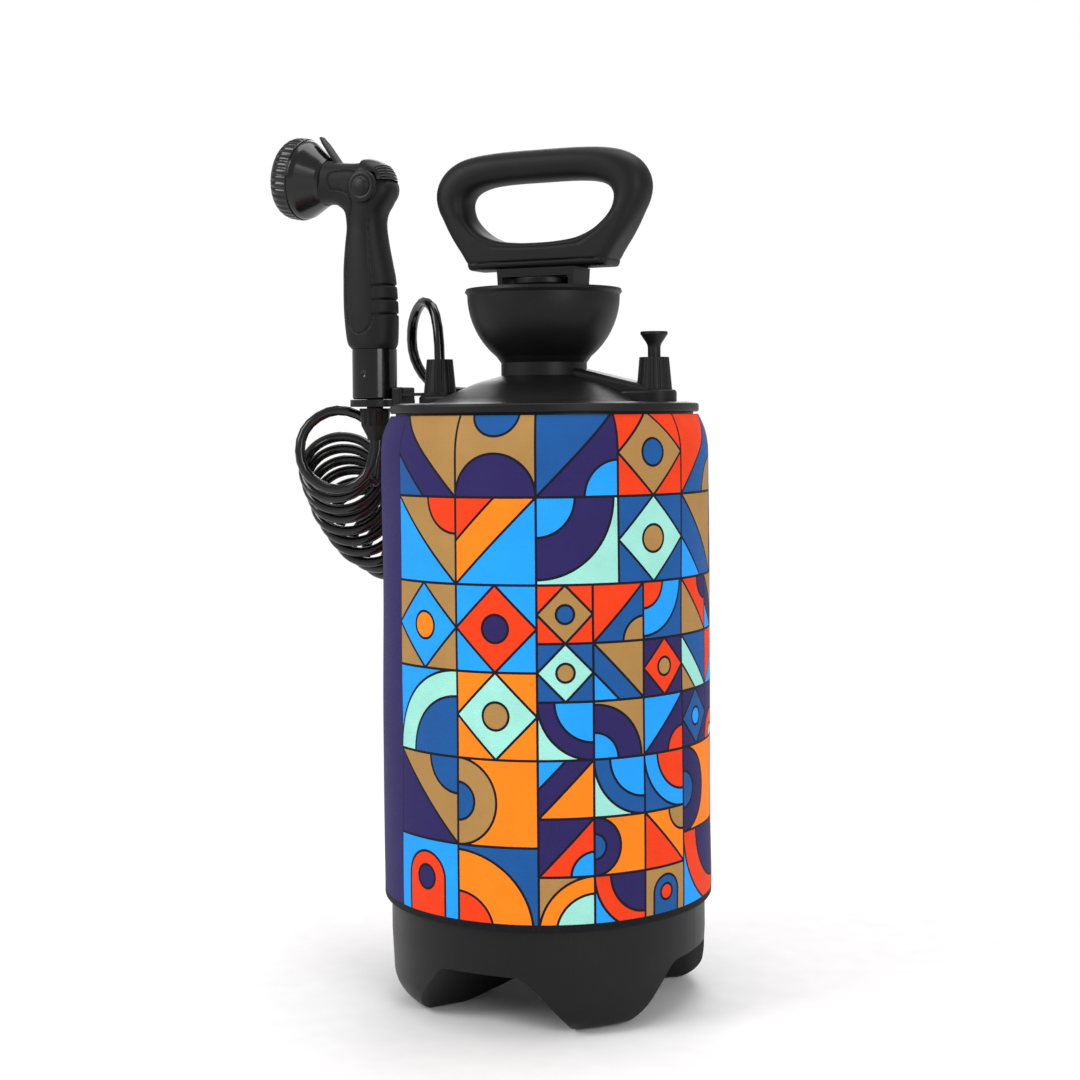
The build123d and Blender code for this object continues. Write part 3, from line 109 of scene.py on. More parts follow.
class Skin:
    """Meshes made from surfaces of two parameters."""

    @staticmethod
    def solid(name: str, grids: list[np.ndarray], sharp: float = 40.0) -> bpy.types.Object:
        """Makes one mesh object of closed forms, each a stack of rings with flat ends.

        Args:
            name: The piece's name.
            grids: Rings by points by 3 for each form, in metres.
            sharp: The angle in degrees from which an edge stays sharp.

        Returns:
            The new object, at the origin.
        """
        points, faces, start = [], [], 0
        for grid in grids:
            rows, columns = grid.shape[:2]
            i, j = np.meshgrid(np.arange(rows - 1), np.arange(columns), indexing="ij")
            corners = [(i, j), (i, (j + 1) % columns), (i + 1, (j + 1) % columns), (i + 1, j)]
            quads = start + np.stack([a * columns + b for a, b in corners], axis=-1).reshape(-1, 4)
            faces += quads.tolist()
            faces.append(list(range(start + columns - 1, start - 1, -1)))
            faces.append(list(range(start + (rows - 1) * columns, start + rows * columns)))
            points.append(grid.reshape(-1, 3))
            start += rows * columns
        mesh = bpy.data.meshes.new(name)
        mesh.from_pydata(np.concatenate(points), [], faces)
        shape = bmesh.new()
        shape.from_mesh(mesh)
        bmesh.ops.recalc_face_normals(shape, faces=shape.faces)
        shape.to_mesh(mesh)
        shape.free()
        mesh.shade_smooth()
        mesh.set_sharp_from_angle(angle=math.radians(sharp))
        made = bpy.data.objects.new(name, mesh)
        bpy.context.scene.collection.objects.link(made)
        return made

    @staticmethod
    def sheet(name: str, points: np.ndarray, closed: tuple[bool, bool], uv: np.ndarray | None = None,
              sharp: float = 40.0) -> bpy.types.Object:
        """Makes a mesh object from a grid of points in the row frame.

        Args:
            name: The piece's name.
            points: Rows by columns by 3, in metres.
            closed: Whether the rows and the columns close on themselves.
            uv: The texture place of each grid corner, one row and column longer where the grid closes.
            sharp: The angle in degrees from which an edge stays sharp.

        Returns:
            The new object, at the origin.
        """
        rows, columns = points.shape[:2]
        last_row = rows if closed[0] else rows - 1
        last_column = columns if closed[1] else columns - 1
        i, j = np.meshgrid(np.arange(last_row), np.arange(last_column), indexing="ij")
        corners = [(i, j), (i, j + 1), (i + 1, j + 1), (i + 1, j)]
        faces = np.stack([(a % rows) * columns + b % columns for a, b in corners], axis=-1).reshape(-1, 4)
        mesh = bpy.data.meshes.new(name)
        mesh.from_pydata(points.reshape(-1, 3), [], faces.tolist())
        if uv is not None:
            layer = mesh.uv_layers.new(name="print")
            flat = np.stack([uv[a, b] for a, b in corners], axis=2).reshape(-1, 2)
            layer.data.foreach_set("uv", flat.astype(np.float32).ravel())
        mesh.update()
        mesh.shade_smooth()
        mesh.set_sharp_from_angle(angle=math.radians(sharp))
        made = bpy.data.objects.new(name, mesh)
        bpy.context.scene.collection.objects.link(made)
        return made

    @staticmethod
    def turned(name: str, profile: np.ndarray, steps: int = 96, sharp: float = 40.0) -> bpy.types.Object:
        """Makes a surface of revolution about the tank's axis from a closed profile.

        The point at profile place s and angle a is (r(s) cos a, r(s) sin a, z(s)).

        Args:
            name: The piece's name.
            profile: Points of radius and height in millimetres, counter-clockwise in the r-z plane.
            steps: How many steps go round the axis.
            sharp: The angle in degrees from which an edge stays sharp.

        Returns:
            The new object.
        """
        angle = np.linspace(0, 2 * math.pi, steps, endpoint=False)
        radius, height = profile[:, 0][:, None], profile[:, 1][:, None]
        ring = np.stack([radius * np.cos(angle), radius * np.sin(angle), height + 0 * angle], axis=-1)
        return Skin.sheet(name, row_points(ring), (True, True), sharp=sharp)


class Graph:
    """A short way to write one node tree."""

    def __init__(self, tree: bpy.types.NodeTree) -> None:
        """Keeps the tree that the nodes go into."""
        self.tree = tree

    def node(self, kind: str, **settings: object) -> bpy.types.Node:
        """Adds a node of a kind with its settings."""
        made = self.tree.nodes.new(kind)
        for key, value in settings.items():
            setattr(made, key, value)
        return made

    def feed(self, socket: bpy.types.NodeSocket, value: object) -> None:
        """Links a socket to another one, or sets its plain value."""
        if isinstance(value, bpy.types.NodeSocket):
            self.tree.links.new(value, socket)
        else:
            socket.default_value = value

    def math(self, operation: str, *values: object) -> bpy.types.NodeSocket:
        """Adds a Math node and returns its result."""
        made = self.node("ShaderNodeMath", operation=operation)
        for socket, value in zip(made.inputs, values):
            self.feed(socket, value)
        return made.outputs[0]

    def vector(self, operation: str, *values: object) -> bpy.types.NodeSocket:
        """Adds a Vector Math node and returns its vector, or its value for a length."""
        made = self.node("ShaderNodeVectorMath", operation=operation)
        for socket, value in zip(made.inputs, values):
            self.feed(socket, value)
        return made.outputs["Value" if operation == "LENGTH" else "Vector"]

    def mix(self, factor: object, first: object, second: object) -> bpy.types.NodeSocket:
        """Mixes two values."""
        made = self.node("ShaderNodeMix", data_type="FLOAT")
        for index, value in ((0, factor), (2, first), (3, second)):
            self.feed(made.inputs[index], value)
        return made.outputs[0]

    def blend(self, factor: object, first: object, second: object) -> bpy.types.NodeSocket:
        """Mixes two colours."""
        made = self.node("ShaderNodeMix", data_type="RGBA")
        for index, value in ((0, factor), (6, first), (7, second)):
            self.feed(made.inputs[index], value)
        return made.outputs[2]

    def noise(self, vector: object, scale: object, detail: float = 2.0) -> bpy.types.NodeSocket:
        """Adds a noise texture and returns its value."""
        made = self.node("ShaderNodeTexNoise")
        self.feed(made.inputs["Vector"], vector)
        self.feed(made.inputs["Scale"], scale)
        made.inputs["Detail"].default_value = detail
        return made.outputs[0]

    def remap(self, value: object, low: float, high: float, to_low: float, to_high: float) -> bpy.types.NodeSocket:
        """Carries a value from one range to another and holds it there."""
        made = self.node("ShaderNodeMapRange")
        for index, number in enumerate((value, low, high, to_low, to_high)):
            self.feed(made.inputs[index], number)
        return made.outputs[0]


def shader_group(name: str, inputs: dict[str, str], outputs: dict[str, str]) -> tuple[Graph, dict, dict]:
    """Starts a node group with named inputs and outputs.

    Args:
        name: The group's name.
        inputs: Socket kinds by input name.
        outputs: Socket kinds by output name.

    Returns:
        The graph of the group, its input sockets by name and its output sockets by name.
    """
    tree = bpy.data.node_groups.new(name, "ShaderNodeTree")
    for label, kind in inputs.items():
        tree.interface.new_socket(name=label, in_out="INPUT", socket_type=kind)
    for label, kind in outputs.items():
        tree.interface.new_socket(name=label, in_out="OUTPUT", socket_type=kind)
    entry = tree.nodes.new("NodeGroupInput")
    leave = tree.nodes.new("NodeGroupOutput")
    return Graph(tree), {k: entry.outputs[k] for k in inputs}, {k: leave.inputs[k] for k in outputs}


def moulded_group() -> bpy.types.NodeTree:
    """Builds the group of moulded plastic: fine grain, faint flow marks, scuffs and dust.

    Returns:
        The group, which gives a colour, a roughness and a height.
    """
    value, colour, vector = "NodeSocketFloat", "NodeSocketColor", "NodeSocketVector"
    graph, inside, outside = shader_group(
        "moulded_plastic",
        {"Place": vector, "Tint": colour, "Roughness": value, "Grain": value, "Scuff": value, "Dust": value},
        {"Colour": colour, "Roughness": value, "Height": value},
    )
    grain = graph.noise(inside["Place"], inside["Grain"], 3.0)
    cloud = graph.noise(inside["Place"], 22.0, 3.0)
    stretched = graph.vector("MULTIPLY", inside["Place"], (900.0, 900.0, 60.0))
    lines = graph.remap(graph.noise(stretched, 1.0, 2.0), 0.62, 0.8, 0.0, 1.0)
    scuffs = graph.math("MULTIPLY", lines, inside["Scuff"])
    settled = graph.remap(graph.noise(inside["Place"], 70.0, 4.0), 0.5, 0.85, 0.0, 1.0)
    dust = graph.math("MULTIPLY", settled, inside["Dust"])
    lighter = graph.vector("SCALE", inside["Tint"])
    graph.feed(lighter.node.inputs["Scale"], graph.remap(cloud, 0.3, 0.7, 0.88, 1.14))
    scuffed = graph.blend(scuffs, lighter, (0.16, 0.16, 0.165, 1.0))
    graph.feed(outside["Colour"], graph.blend(dust, scuffed, (0.2, 0.195, 0.185, 1.0)))
    rough = graph.math("ADD", inside["Roughness"], graph.remap(cloud, 0.3, 0.7, -0.04, 0.05))
    graph.feed(outside["Roughness"], graph.math("ADD", rough, graph.math("MULTIPLY", scuffs, 0.5)))
    graph.feed(outside["Height"], graph.math("SUBTRACT", grain, graph.math("MULTIPLY", scuffs, 2.0)))
    return graph.tree


@dataclass(frozen=True)
class Finish:
    """One moulded finish: its tint, gloss, grain and the marks of use."""

    name: str
    tint: Colour
    roughness: float
    specular: float = 0.35
    coat: float = 0.0
    grain: float = 2600.0
    relief: float = 0.05
    scuff: float = 0.02
    dust: float = 0.008
    metallic: float = 0.0
    sheen: float = 0.0
    transmission: float = 0.0

    def material(self, moulded: bpy.types.NodeTree) -> bpy.types.Material:
        """Makes the material of this finish.

        Args:
            moulded: The shared group of moulded plastic.

        Returns:
            The material.
        """
        made = bpy.data.materials.new(self.name)
        made.use_nodes = True
        graph = Graph(made.node_tree)
        shader = made.node_tree.nodes["Principled BSDF"]
        place = graph.node("ShaderNodeTexCoord").outputs["Object"]
        surface = graph.node("ShaderNodeGroup", node_tree=moulded)
        values = {"Place": place, "Tint": (*self.tint, 1.0), "Roughness": self.roughness,
                  "Grain": self.grain, "Scuff": self.scuff, "Dust": self.dust}
        for label, value in values.items():
            graph.feed(surface.inputs[label], value)
        bump = graph.node("ShaderNodeBump")
        bump.inputs["Strength"].default_value = self.relief
        bump.inputs["Distance"].default_value = 0.0004
        graph.feed(bump.inputs["Height"], surface.outputs["Height"])
        graph.feed(shader.inputs["Base Color"], surface.outputs["Colour"])
        graph.feed(shader.inputs["Roughness"], surface.outputs["Roughness"])
        graph.feed(shader.inputs["Normal"], bump.outputs["Normal"])
        shader.inputs["Specular IOR Level"].default_value = self.specular
        shader.inputs["Coat Weight"].default_value = self.coat
        shader.inputs["Coat Roughness"].default_value = 0.08
        shader.inputs["Metallic"].default_value = self.metallic
        shader.inputs["Sheen Weight"].default_value = self.sheen
        shader.inputs["Transmission Weight"].default_value = self.transmission
        return made


class Moulding(Enum):
    """The finishes of the plain pieces."""

    TANK = Finish("satin_tank_black", (0.0055, 0.0055, 0.006), 0.42, specular=0.22, relief=0.12, grain=1500.0)
    FITTING = Finish("satin_fitting_black", (0.005, 0.005, 0.0054), 0.38, specular=0.24, relief=0.08)
    HANDLE = Finish("soft_handle_black", (0.006, 0.006, 0.0062), 0.5, specular=0.2, relief=0.1, grain=1800.0)
    GRIP = Finish("matte_grip_black", (0.0075, 0.0075, 0.0078), 0.52, specular=0.2, relief=0.1)
    INLAY = Finish("soft_inlay_black", (0.007, 0.007, 0.0073), 0.58, specular=0.18, relief=0.14, grain=3400.0)
    GLOSS = Finish("gloss_black", (0.004, 0.004, 0.0043), 0.16, specular=0.42, relief=0.02, scuff=0.01)
    HOSE = Finish("gloss_hose_black", (0.0035, 0.0035, 0.0037), 0.13, specular=0.45, relief=0.03, grain=900.0)
    SEAL = Finish("seal_rubber_black", (0.008, 0.008, 0.008), 0.62, specular=0.2)
    STEEL = Finish("drawn_steel", (0.55, 0.55, 0.56), 0.28, specular=0.5, metallic=1.0, scuff=0.1)
    CLEAR = Finish("milky_tube", (0.72, 0.73, 0.71), 0.3, specular=0.5, transmission=0.4)


class PrintInk(Enum):
    """The inks of the sleeve's print, as linear colours."""

    NAVY = (0.023, 0.015, 0.102)
    ROYAL = (0.009, 0.088, 0.305)
    SKY = (0.013, 0.328, 1.0)
    ORANGE = (1.0, 0.223, 0.007)
    RED = (0.831, 0.045, 0.005)
    MINT = (0.328, 0.73, 0.631)
    TAN = (0.392, 0.216, 0.065)


@dataclass
class TilePrint:
    """A generic geometric print: blocks of one, four or nine tiles, each with one plain motif."""

    line: float = 0.7
    block: float = 94.0
    row: float = 96.5
    hem: float = 6.0
    columns: float = 6.0
    seed: float = 3.0

    def picked(self, graph: Graph, share: object) -> bpy.types.NodeSocket:
        """The ink at a share from 0 to 1 of the range of inks."""
        ramp = graph.node("ShaderNodeValToRGB")
        ramp.color_ramp.interpolation = "CONSTANT"
        inks = list(PrintInk)
        while len(ramp.color_ramp.elements) < len(inks):
            ramp.color_ramp.elements.new(0.5)
        for index, ink in enumerate(inks):
            ramp.color_ramp.elements[index].position = index / len(inks)
            ramp.color_ramp.elements[index].color = (*ink.value, 1.0)
        graph.feed(ramp.inputs[0], share)
        return ramp.outputs[0]

    def motifs(self, graph: Graph, x: object, y: object) -> list[tuple[object, object]]:
        """The signed distances of the two forms of each motif, in a tile from 0 to 1.

        Args:
            graph: The graph that takes the nodes.
            x: The place across the tile.
            y: The place up the tile.

        Returns:
            The distances of the lower and the upper form, motif by motif.
        """
        def disc(cx: float, cy: float, radius: float) -> object:
            dx = graph.math("SUBTRACT", x, cx)
            dy = graph.math("SUBTRACT", y, cy)
            far = graph.math("SQRT", graph.math("ADD", graph.math("MULTIPLY", dx, dx), graph.math("MULTIPLY", dy, dy)))
            return graph.math("SUBTRACT", far, radius)

        def slope(offset: float) -> object:
            return graph.math("MULTIPLY", graph.math("SUBTRACT", graph.math("ADD", x, y), offset), 0.707)

        def diamond(half: float) -> object:
            dx = graph.math("ABSOLUTE", graph.math("SUBTRACT", x, 0.5))
            dy = graph.math("ABSOLUTE", graph.math("SUBTRACT", y, 0.5))
            return graph.math("MULTIPLY", graph.math("SUBTRACT", graph.math("ADD", dx, dy), half), 0.707)

        arch_side = graph.math("SUBTRACT", graph.math("ABSOLUTE", graph.math("SUBTRACT", x, 0.5)), 0.3)
        arch = graph.math("MAXIMUM", graph.math("MINIMUM", disc(0.5, 0.55, 0.3), graph.math(
            "MAXIMUM", arch_side, graph.math("SUBTRACT", y, 0.55))), -1.0)
        return [
            (disc(0.0, 0.0, 0.94), disc(0.0, 0.0, 0.46)),
            (slope(1.0), disc(1.0, 1.0, 0.42)),
            (disc(0.5, 0.0, 0.5), disc(0.5, 0.0, 0.22)),
            (slope(1.0), slope(0.5)),
            (diamond(0.5), disc(0.5, 0.5, 0.16)),
            (disc(0.0, 0.0, 1.0), disc(0.0, 0.0, 0.7)),
            (arch, disc(0.5, 0.55, 0.14)),
            (disc(0.0, 0.5, 0.5), disc(1.0, 0.5, 0.3)),
        ]

    def group(self) -> bpy.types.NodeTree:
        """Builds the print as a group that gives a colour and a mask of its lines.

        Returns:
            The node group.
        """
        value, colour, vector = "NodeSocketFloat", "NodeSocketColor", "NodeSocketVector"
        graph, inside, outside = shader_group("tile_print", {"Place": vector}, {"Colour": colour, "Line": value})
        plain = graph.node("ShaderNodeSeparateXYZ")
        graph.feed(plain.inputs[0], inside["Place"])
        coarse = graph.vector("FLOOR", inside["Place"])
        dice = graph.node("ShaderNodeTexWhiteNoise", noise_dimensions="3D")
        graph.feed(dice.inputs["Vector"], graph.vector("ADD", coarse, (self.seed, 7.0, 1.0)))
        split = graph.math("ADD", 1.0, graph.math("ADD", graph.math("GREATER_THAN", dice.outputs["Value"], 0.02),
                                                  graph.math("GREATER_THAN", dice.outputs["Value"], 0.74)))
        fine = graph.vector("SCALE", inside["Place"])
        graph.feed(fine.node.inputs["Scale"], split)
        tile = graph.vector("FLOOR", fine)
        spot = graph.node("ShaderNodeSeparateXYZ")
        graph.feed(spot.inputs[0], graph.vector("FRACTION", fine))
        first = graph.node("ShaderNodeTexWhiteNoise", noise_dimensions="3D")
        graph.feed(first.inputs["Vector"], graph.vector("ADD", tile, (self.seed + 0.5, 3.5, 2.5)))
        second = graph.node("ShaderNodeTexWhiteNoise", noise_dimensions="3D")
        graph.feed(second.inputs["Vector"], graph.vector("ADD", tile, (9.5, self.seed + 4.5, 8.5)))
        turns = graph.node("ShaderNodeSeparateColor")
        graph.feed(turns.inputs[0], first.outputs["Color"])
        inks = graph.node("ShaderNodeSeparateColor")
        graph.feed(inks.inputs[0], second.outputs["Color"])
        flip_x = graph.math("GREATER_THAN", turns.outputs[0], 0.5)
        flip_y = graph.math("GREATER_THAN", turns.outputs[1], 0.5)
        swap = graph.math("GREATER_THAN", turns.outputs[2], 0.5)
        side = graph.mix(flip_x, spot.outputs[0], graph.math("SUBTRACT", 1.0, spot.outputs[0]))
        rise = graph.mix(flip_y, spot.outputs[1], graph.math("SUBTRACT", 1.0, spot.outputs[1]))
        x = graph.mix(swap, side, rise)
        y = graph.mix(swap, rise, side)
        lower, upper = None, None
        motifs = self.motifs(graph, x, y)
        for index, (under, over) in enumerate(motifs):
            if lower is None:
                lower, upper = under, over
                continue
            chosen = graph.math("GREATER_THAN", first.outputs["Value"], index / len(motifs))
            lower = graph.mix(chosen, lower, under)
            upper = graph.mix(chosen, upper, over)
        count = float(len(PrintInk))
        ground = graph.math("FLOOR", graph.math("MULTIPLY", inks.outputs[0], count))
        step_one = graph.math("ADD", 1.0, graph.math("FLOOR", graph.math("MULTIPLY", inks.outputs[1], count / 2)))
        step_two = graph.math("ADD", 1.0, graph.math("FLOOR", graph.math("MULTIPLY", inks.outputs[2], count / 2 - 1)))
        form = graph.math("ADD", ground, step_one)
        crown = graph.math("ADD", form, step_two)

        def ink(number: object) -> object:
            wrapped = graph.math("FRACT", graph.math("DIVIDE", graph.math("ADD", number, 0.5), count))
            return self.picked(graph, wrapped)

        body = graph.blend(graph.math("LESS_THAN", lower, 0.0), ink(ground), ink(form))
        body = graph.blend(graph.math("LESS_THAN", upper, 0.0), body, ink(crown))
        edge_x = graph.math("MINIMUM", spot.outputs[0], graph.math("SUBTRACT", 1.0, spot.outputs[0]))
        edge_y = graph.math("MINIMUM", spot.outputs[1], graph.math("SUBTRACT", 1.0, spot.outputs[1]))
        near = graph.math("MINIMUM", graph.math("ABSOLUTE", lower), graph.math("ABSOLUTE", upper))
        near = graph.math("MINIMUM", near, graph.math("MINIMUM", edge_x, edge_y))
        near = graph.math("DIVIDE", near, split)
        line = graph.math("LESS_THAN", near, self.line / self.block)
        in_print = graph.math("LESS_THAN", plain.outputs[0], self.columns)
        line = graph.math("MULTIPLY", line, in_print)
        shown = graph.blend(in_print, (*PrintInk.NAVY.value, 1.0), body)
        shown = graph.blend(graph.math("LESS_THAN", plain.outputs[1], self.hem / self.row), shown, (0.004, 0.004, 0.006, 1.0))
        graph.feed(outside["Colour"], graph.blend(line, shown, (0.006, 0.005, 0.012, 1.0)))
        graph.feed(outside["Line"], line)
        return graph.tree


@dataclass
class PrintedSleeve:
    """The neoprene sleeve round the tank: its section carried round the axis, with a soft unevenness."""

    inner: float = 94.3
    outer: float = 98.0
    edge_inner: float = 89.5
    edge_outer: float = 92.5
    bottom: float = 59.6
    bend: float = 16.0
    start_angle: float = -123.2
    steps: int = 288
    artwork: TilePrint = field(default_factory=TilePrint)

    def section(self) -> tuple[np.ndarray, np.ndarray]:
        """The section of the sleeve as radius and height, and how far along it each point lies.

        The outer face goes straight up and turns in over the shoulder along a circle, and the hem below is
        a half round. The inner face follows at the sleeve's thickness.

        Returns:
            The points, anticlockwise, and their distance along the outer face in millimetres.
        """
        wall = self.outer - self.inner
        hem = np.linspace(-math.pi / 2, 0, 7)
        low = np.stack([self.outer - wall / 2 + wall / 2 * np.cos(hem), self.bottom + wall / 2 + wall / 2 * np.sin(hem)], 1)
        straight = np.linspace(self.bottom + 6, EDGE - 24, 56)
        face = np.stack([np.full_like(straight, self.outer), straight], 1)
        turn = np.linspace(0, 1, 22)[1:]
        drop = self.outer - self.edge_outer
        over = np.stack([self.outer - drop * turn ** 2.4, EDGE - 24 + 23.2 * turn], 1)
        lip = np.array([(self.edge_outer - 0.5, EDGE), (self.edge_inner + 0.3, EDGE), (self.edge_inner, EDGE - 0.8)])
        back = np.stack([self.inner - (self.inner - self.edge_inner) * turn[::-1] ** 2.4, EDGE - 26 + 23.2 * turn[::-1]], 1)
        down = np.array([(self.inner, EDGE - 40), (self.inner, 200.0), (self.inner, self.bottom + 4), (self.inner, self.bottom + 0.6)])
        points = np.concatenate([low, face, over, lip, back[1:], down])
        steps = np.linalg.norm(np.diff(points, axis=0, prepend=points[:1]), axis=1)
        return points, np.cumsum(steps)

    def build(self) -> bpy.types.Object:
        """Makes the sleeve's mesh with its print's places.

        A point at angle a and section place s stands at radius r(s) plus a few slow waves of a and z.

        Returns:
            The sleeve.
        """
        points, along = self.section()
        turn = np.linspace(0, 2 * math.pi, self.steps, endpoint=False)
        angle = math.radians(self.start_angle) + turn
        radius, height = points[:, 0][:, None], points[:, 1][:, None]
        slow = 0.22 * np.sin(3 * angle + height / 41) + 0.16 * np.sin(5 * angle - height / 27 + 1.3)
        slow = slow + 0.1 * np.sin(11 * angle + height / 17 + 0.4)
        held = ease((height - self.bottom) / 14) * ease((EDGE - height) / 18)
        radius = radius + slow * held
        grid = np.stack([radius * np.cos(angle), radius * np.sin(angle), height + 0 * angle], axis=-1)
        across = np.linspace(0, 2 * math.pi * self.outer / self.artwork.block, self.steps + 1)
        up = np.append(along, along[-1]) / self.artwork.row
        uv = np.stack(np.meshgrid(across, up), axis=-1)
        sleeve = Skin.sheet("printed_sleeve", row_points(grid), (True, True), uv=uv, sharp=60)
        sleeve.data.materials.append(self.cloth())
        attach(sleeve, "tank_body")
        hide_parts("sleeve")
        return sleeve

    def cloth(self) -> bpy.types.Material:
        """Makes the printed cloth: a fine knit of rows and wales over the print.

        Returns:
            The material.
        """
        made = bpy.data.materials.new("printed_knit")
        made.use_nodes = True
        graph = Graph(made.node_tree)
        shader = made.node_tree.nodes["Principled BSDF"]
        place = graph.node("ShaderNodeUVMap", uv_map="print").outputs[0]
        artwork = graph.node("ShaderNodeGroup", node_tree=self.artwork.group())
        graph.feed(artwork.inputs["Place"], place)
        parts = graph.node("ShaderNodeSeparateXYZ")
        graph.feed(parts.inputs[0], place)
        pitch = 2 * math.pi * self.artwork.block / 0.9
        rows = graph.math("SINE", graph.math("MULTIPLY", parts.outputs[1], pitch))
        wales = graph.math("SINE", graph.math("MULTIPLY", parts.outputs[0], pitch * 0.8))
        knit = graph.math("ADD", graph.math("MULTIPLY", rows, 0.6), graph.math("MULTIPLY", wales, 0.4))
        fibre = graph.noise(place, 420.0, 3.0)
        cloud = graph.noise(place, 5.0, 3.0)
        tone = graph.math("ADD", graph.math("MULTIPLY", knit, 0.05), graph.remap(fibre, 0.2, 0.8, -0.07, 0.07))
        tone = graph.math("ADD", tone, graph.remap(cloud, 0.3, 0.7, 0.95, 1.05))
        toned = graph.vector("SCALE", artwork.outputs["Colour"])
        graph.feed(toned.node.inputs["Scale"], tone)
        bump = graph.node("ShaderNodeBump")
        bump.inputs["Strength"].default_value = 0.25
        bump.inputs["Distance"].default_value = 0.0003
        graph.feed(bump.inputs["Height"], graph.math("ADD", knit, fibre))
        graph.feed(shader.inputs["Base Color"], toned)
        graph.feed(shader.inputs["Roughness"], graph.remap(fibre, 0.2, 0.8, 0.62, 0.78))
        graph.feed(shader.inputs["Normal"], bump.outputs["Normal"])
        shader.inputs["Specular IOR Level"].default_value = 0.16
        shader.inputs["Sheen Weight"].default_value = 0.03
        shader.inputs["Sheen Roughness"].default_value = 0.4
        return made


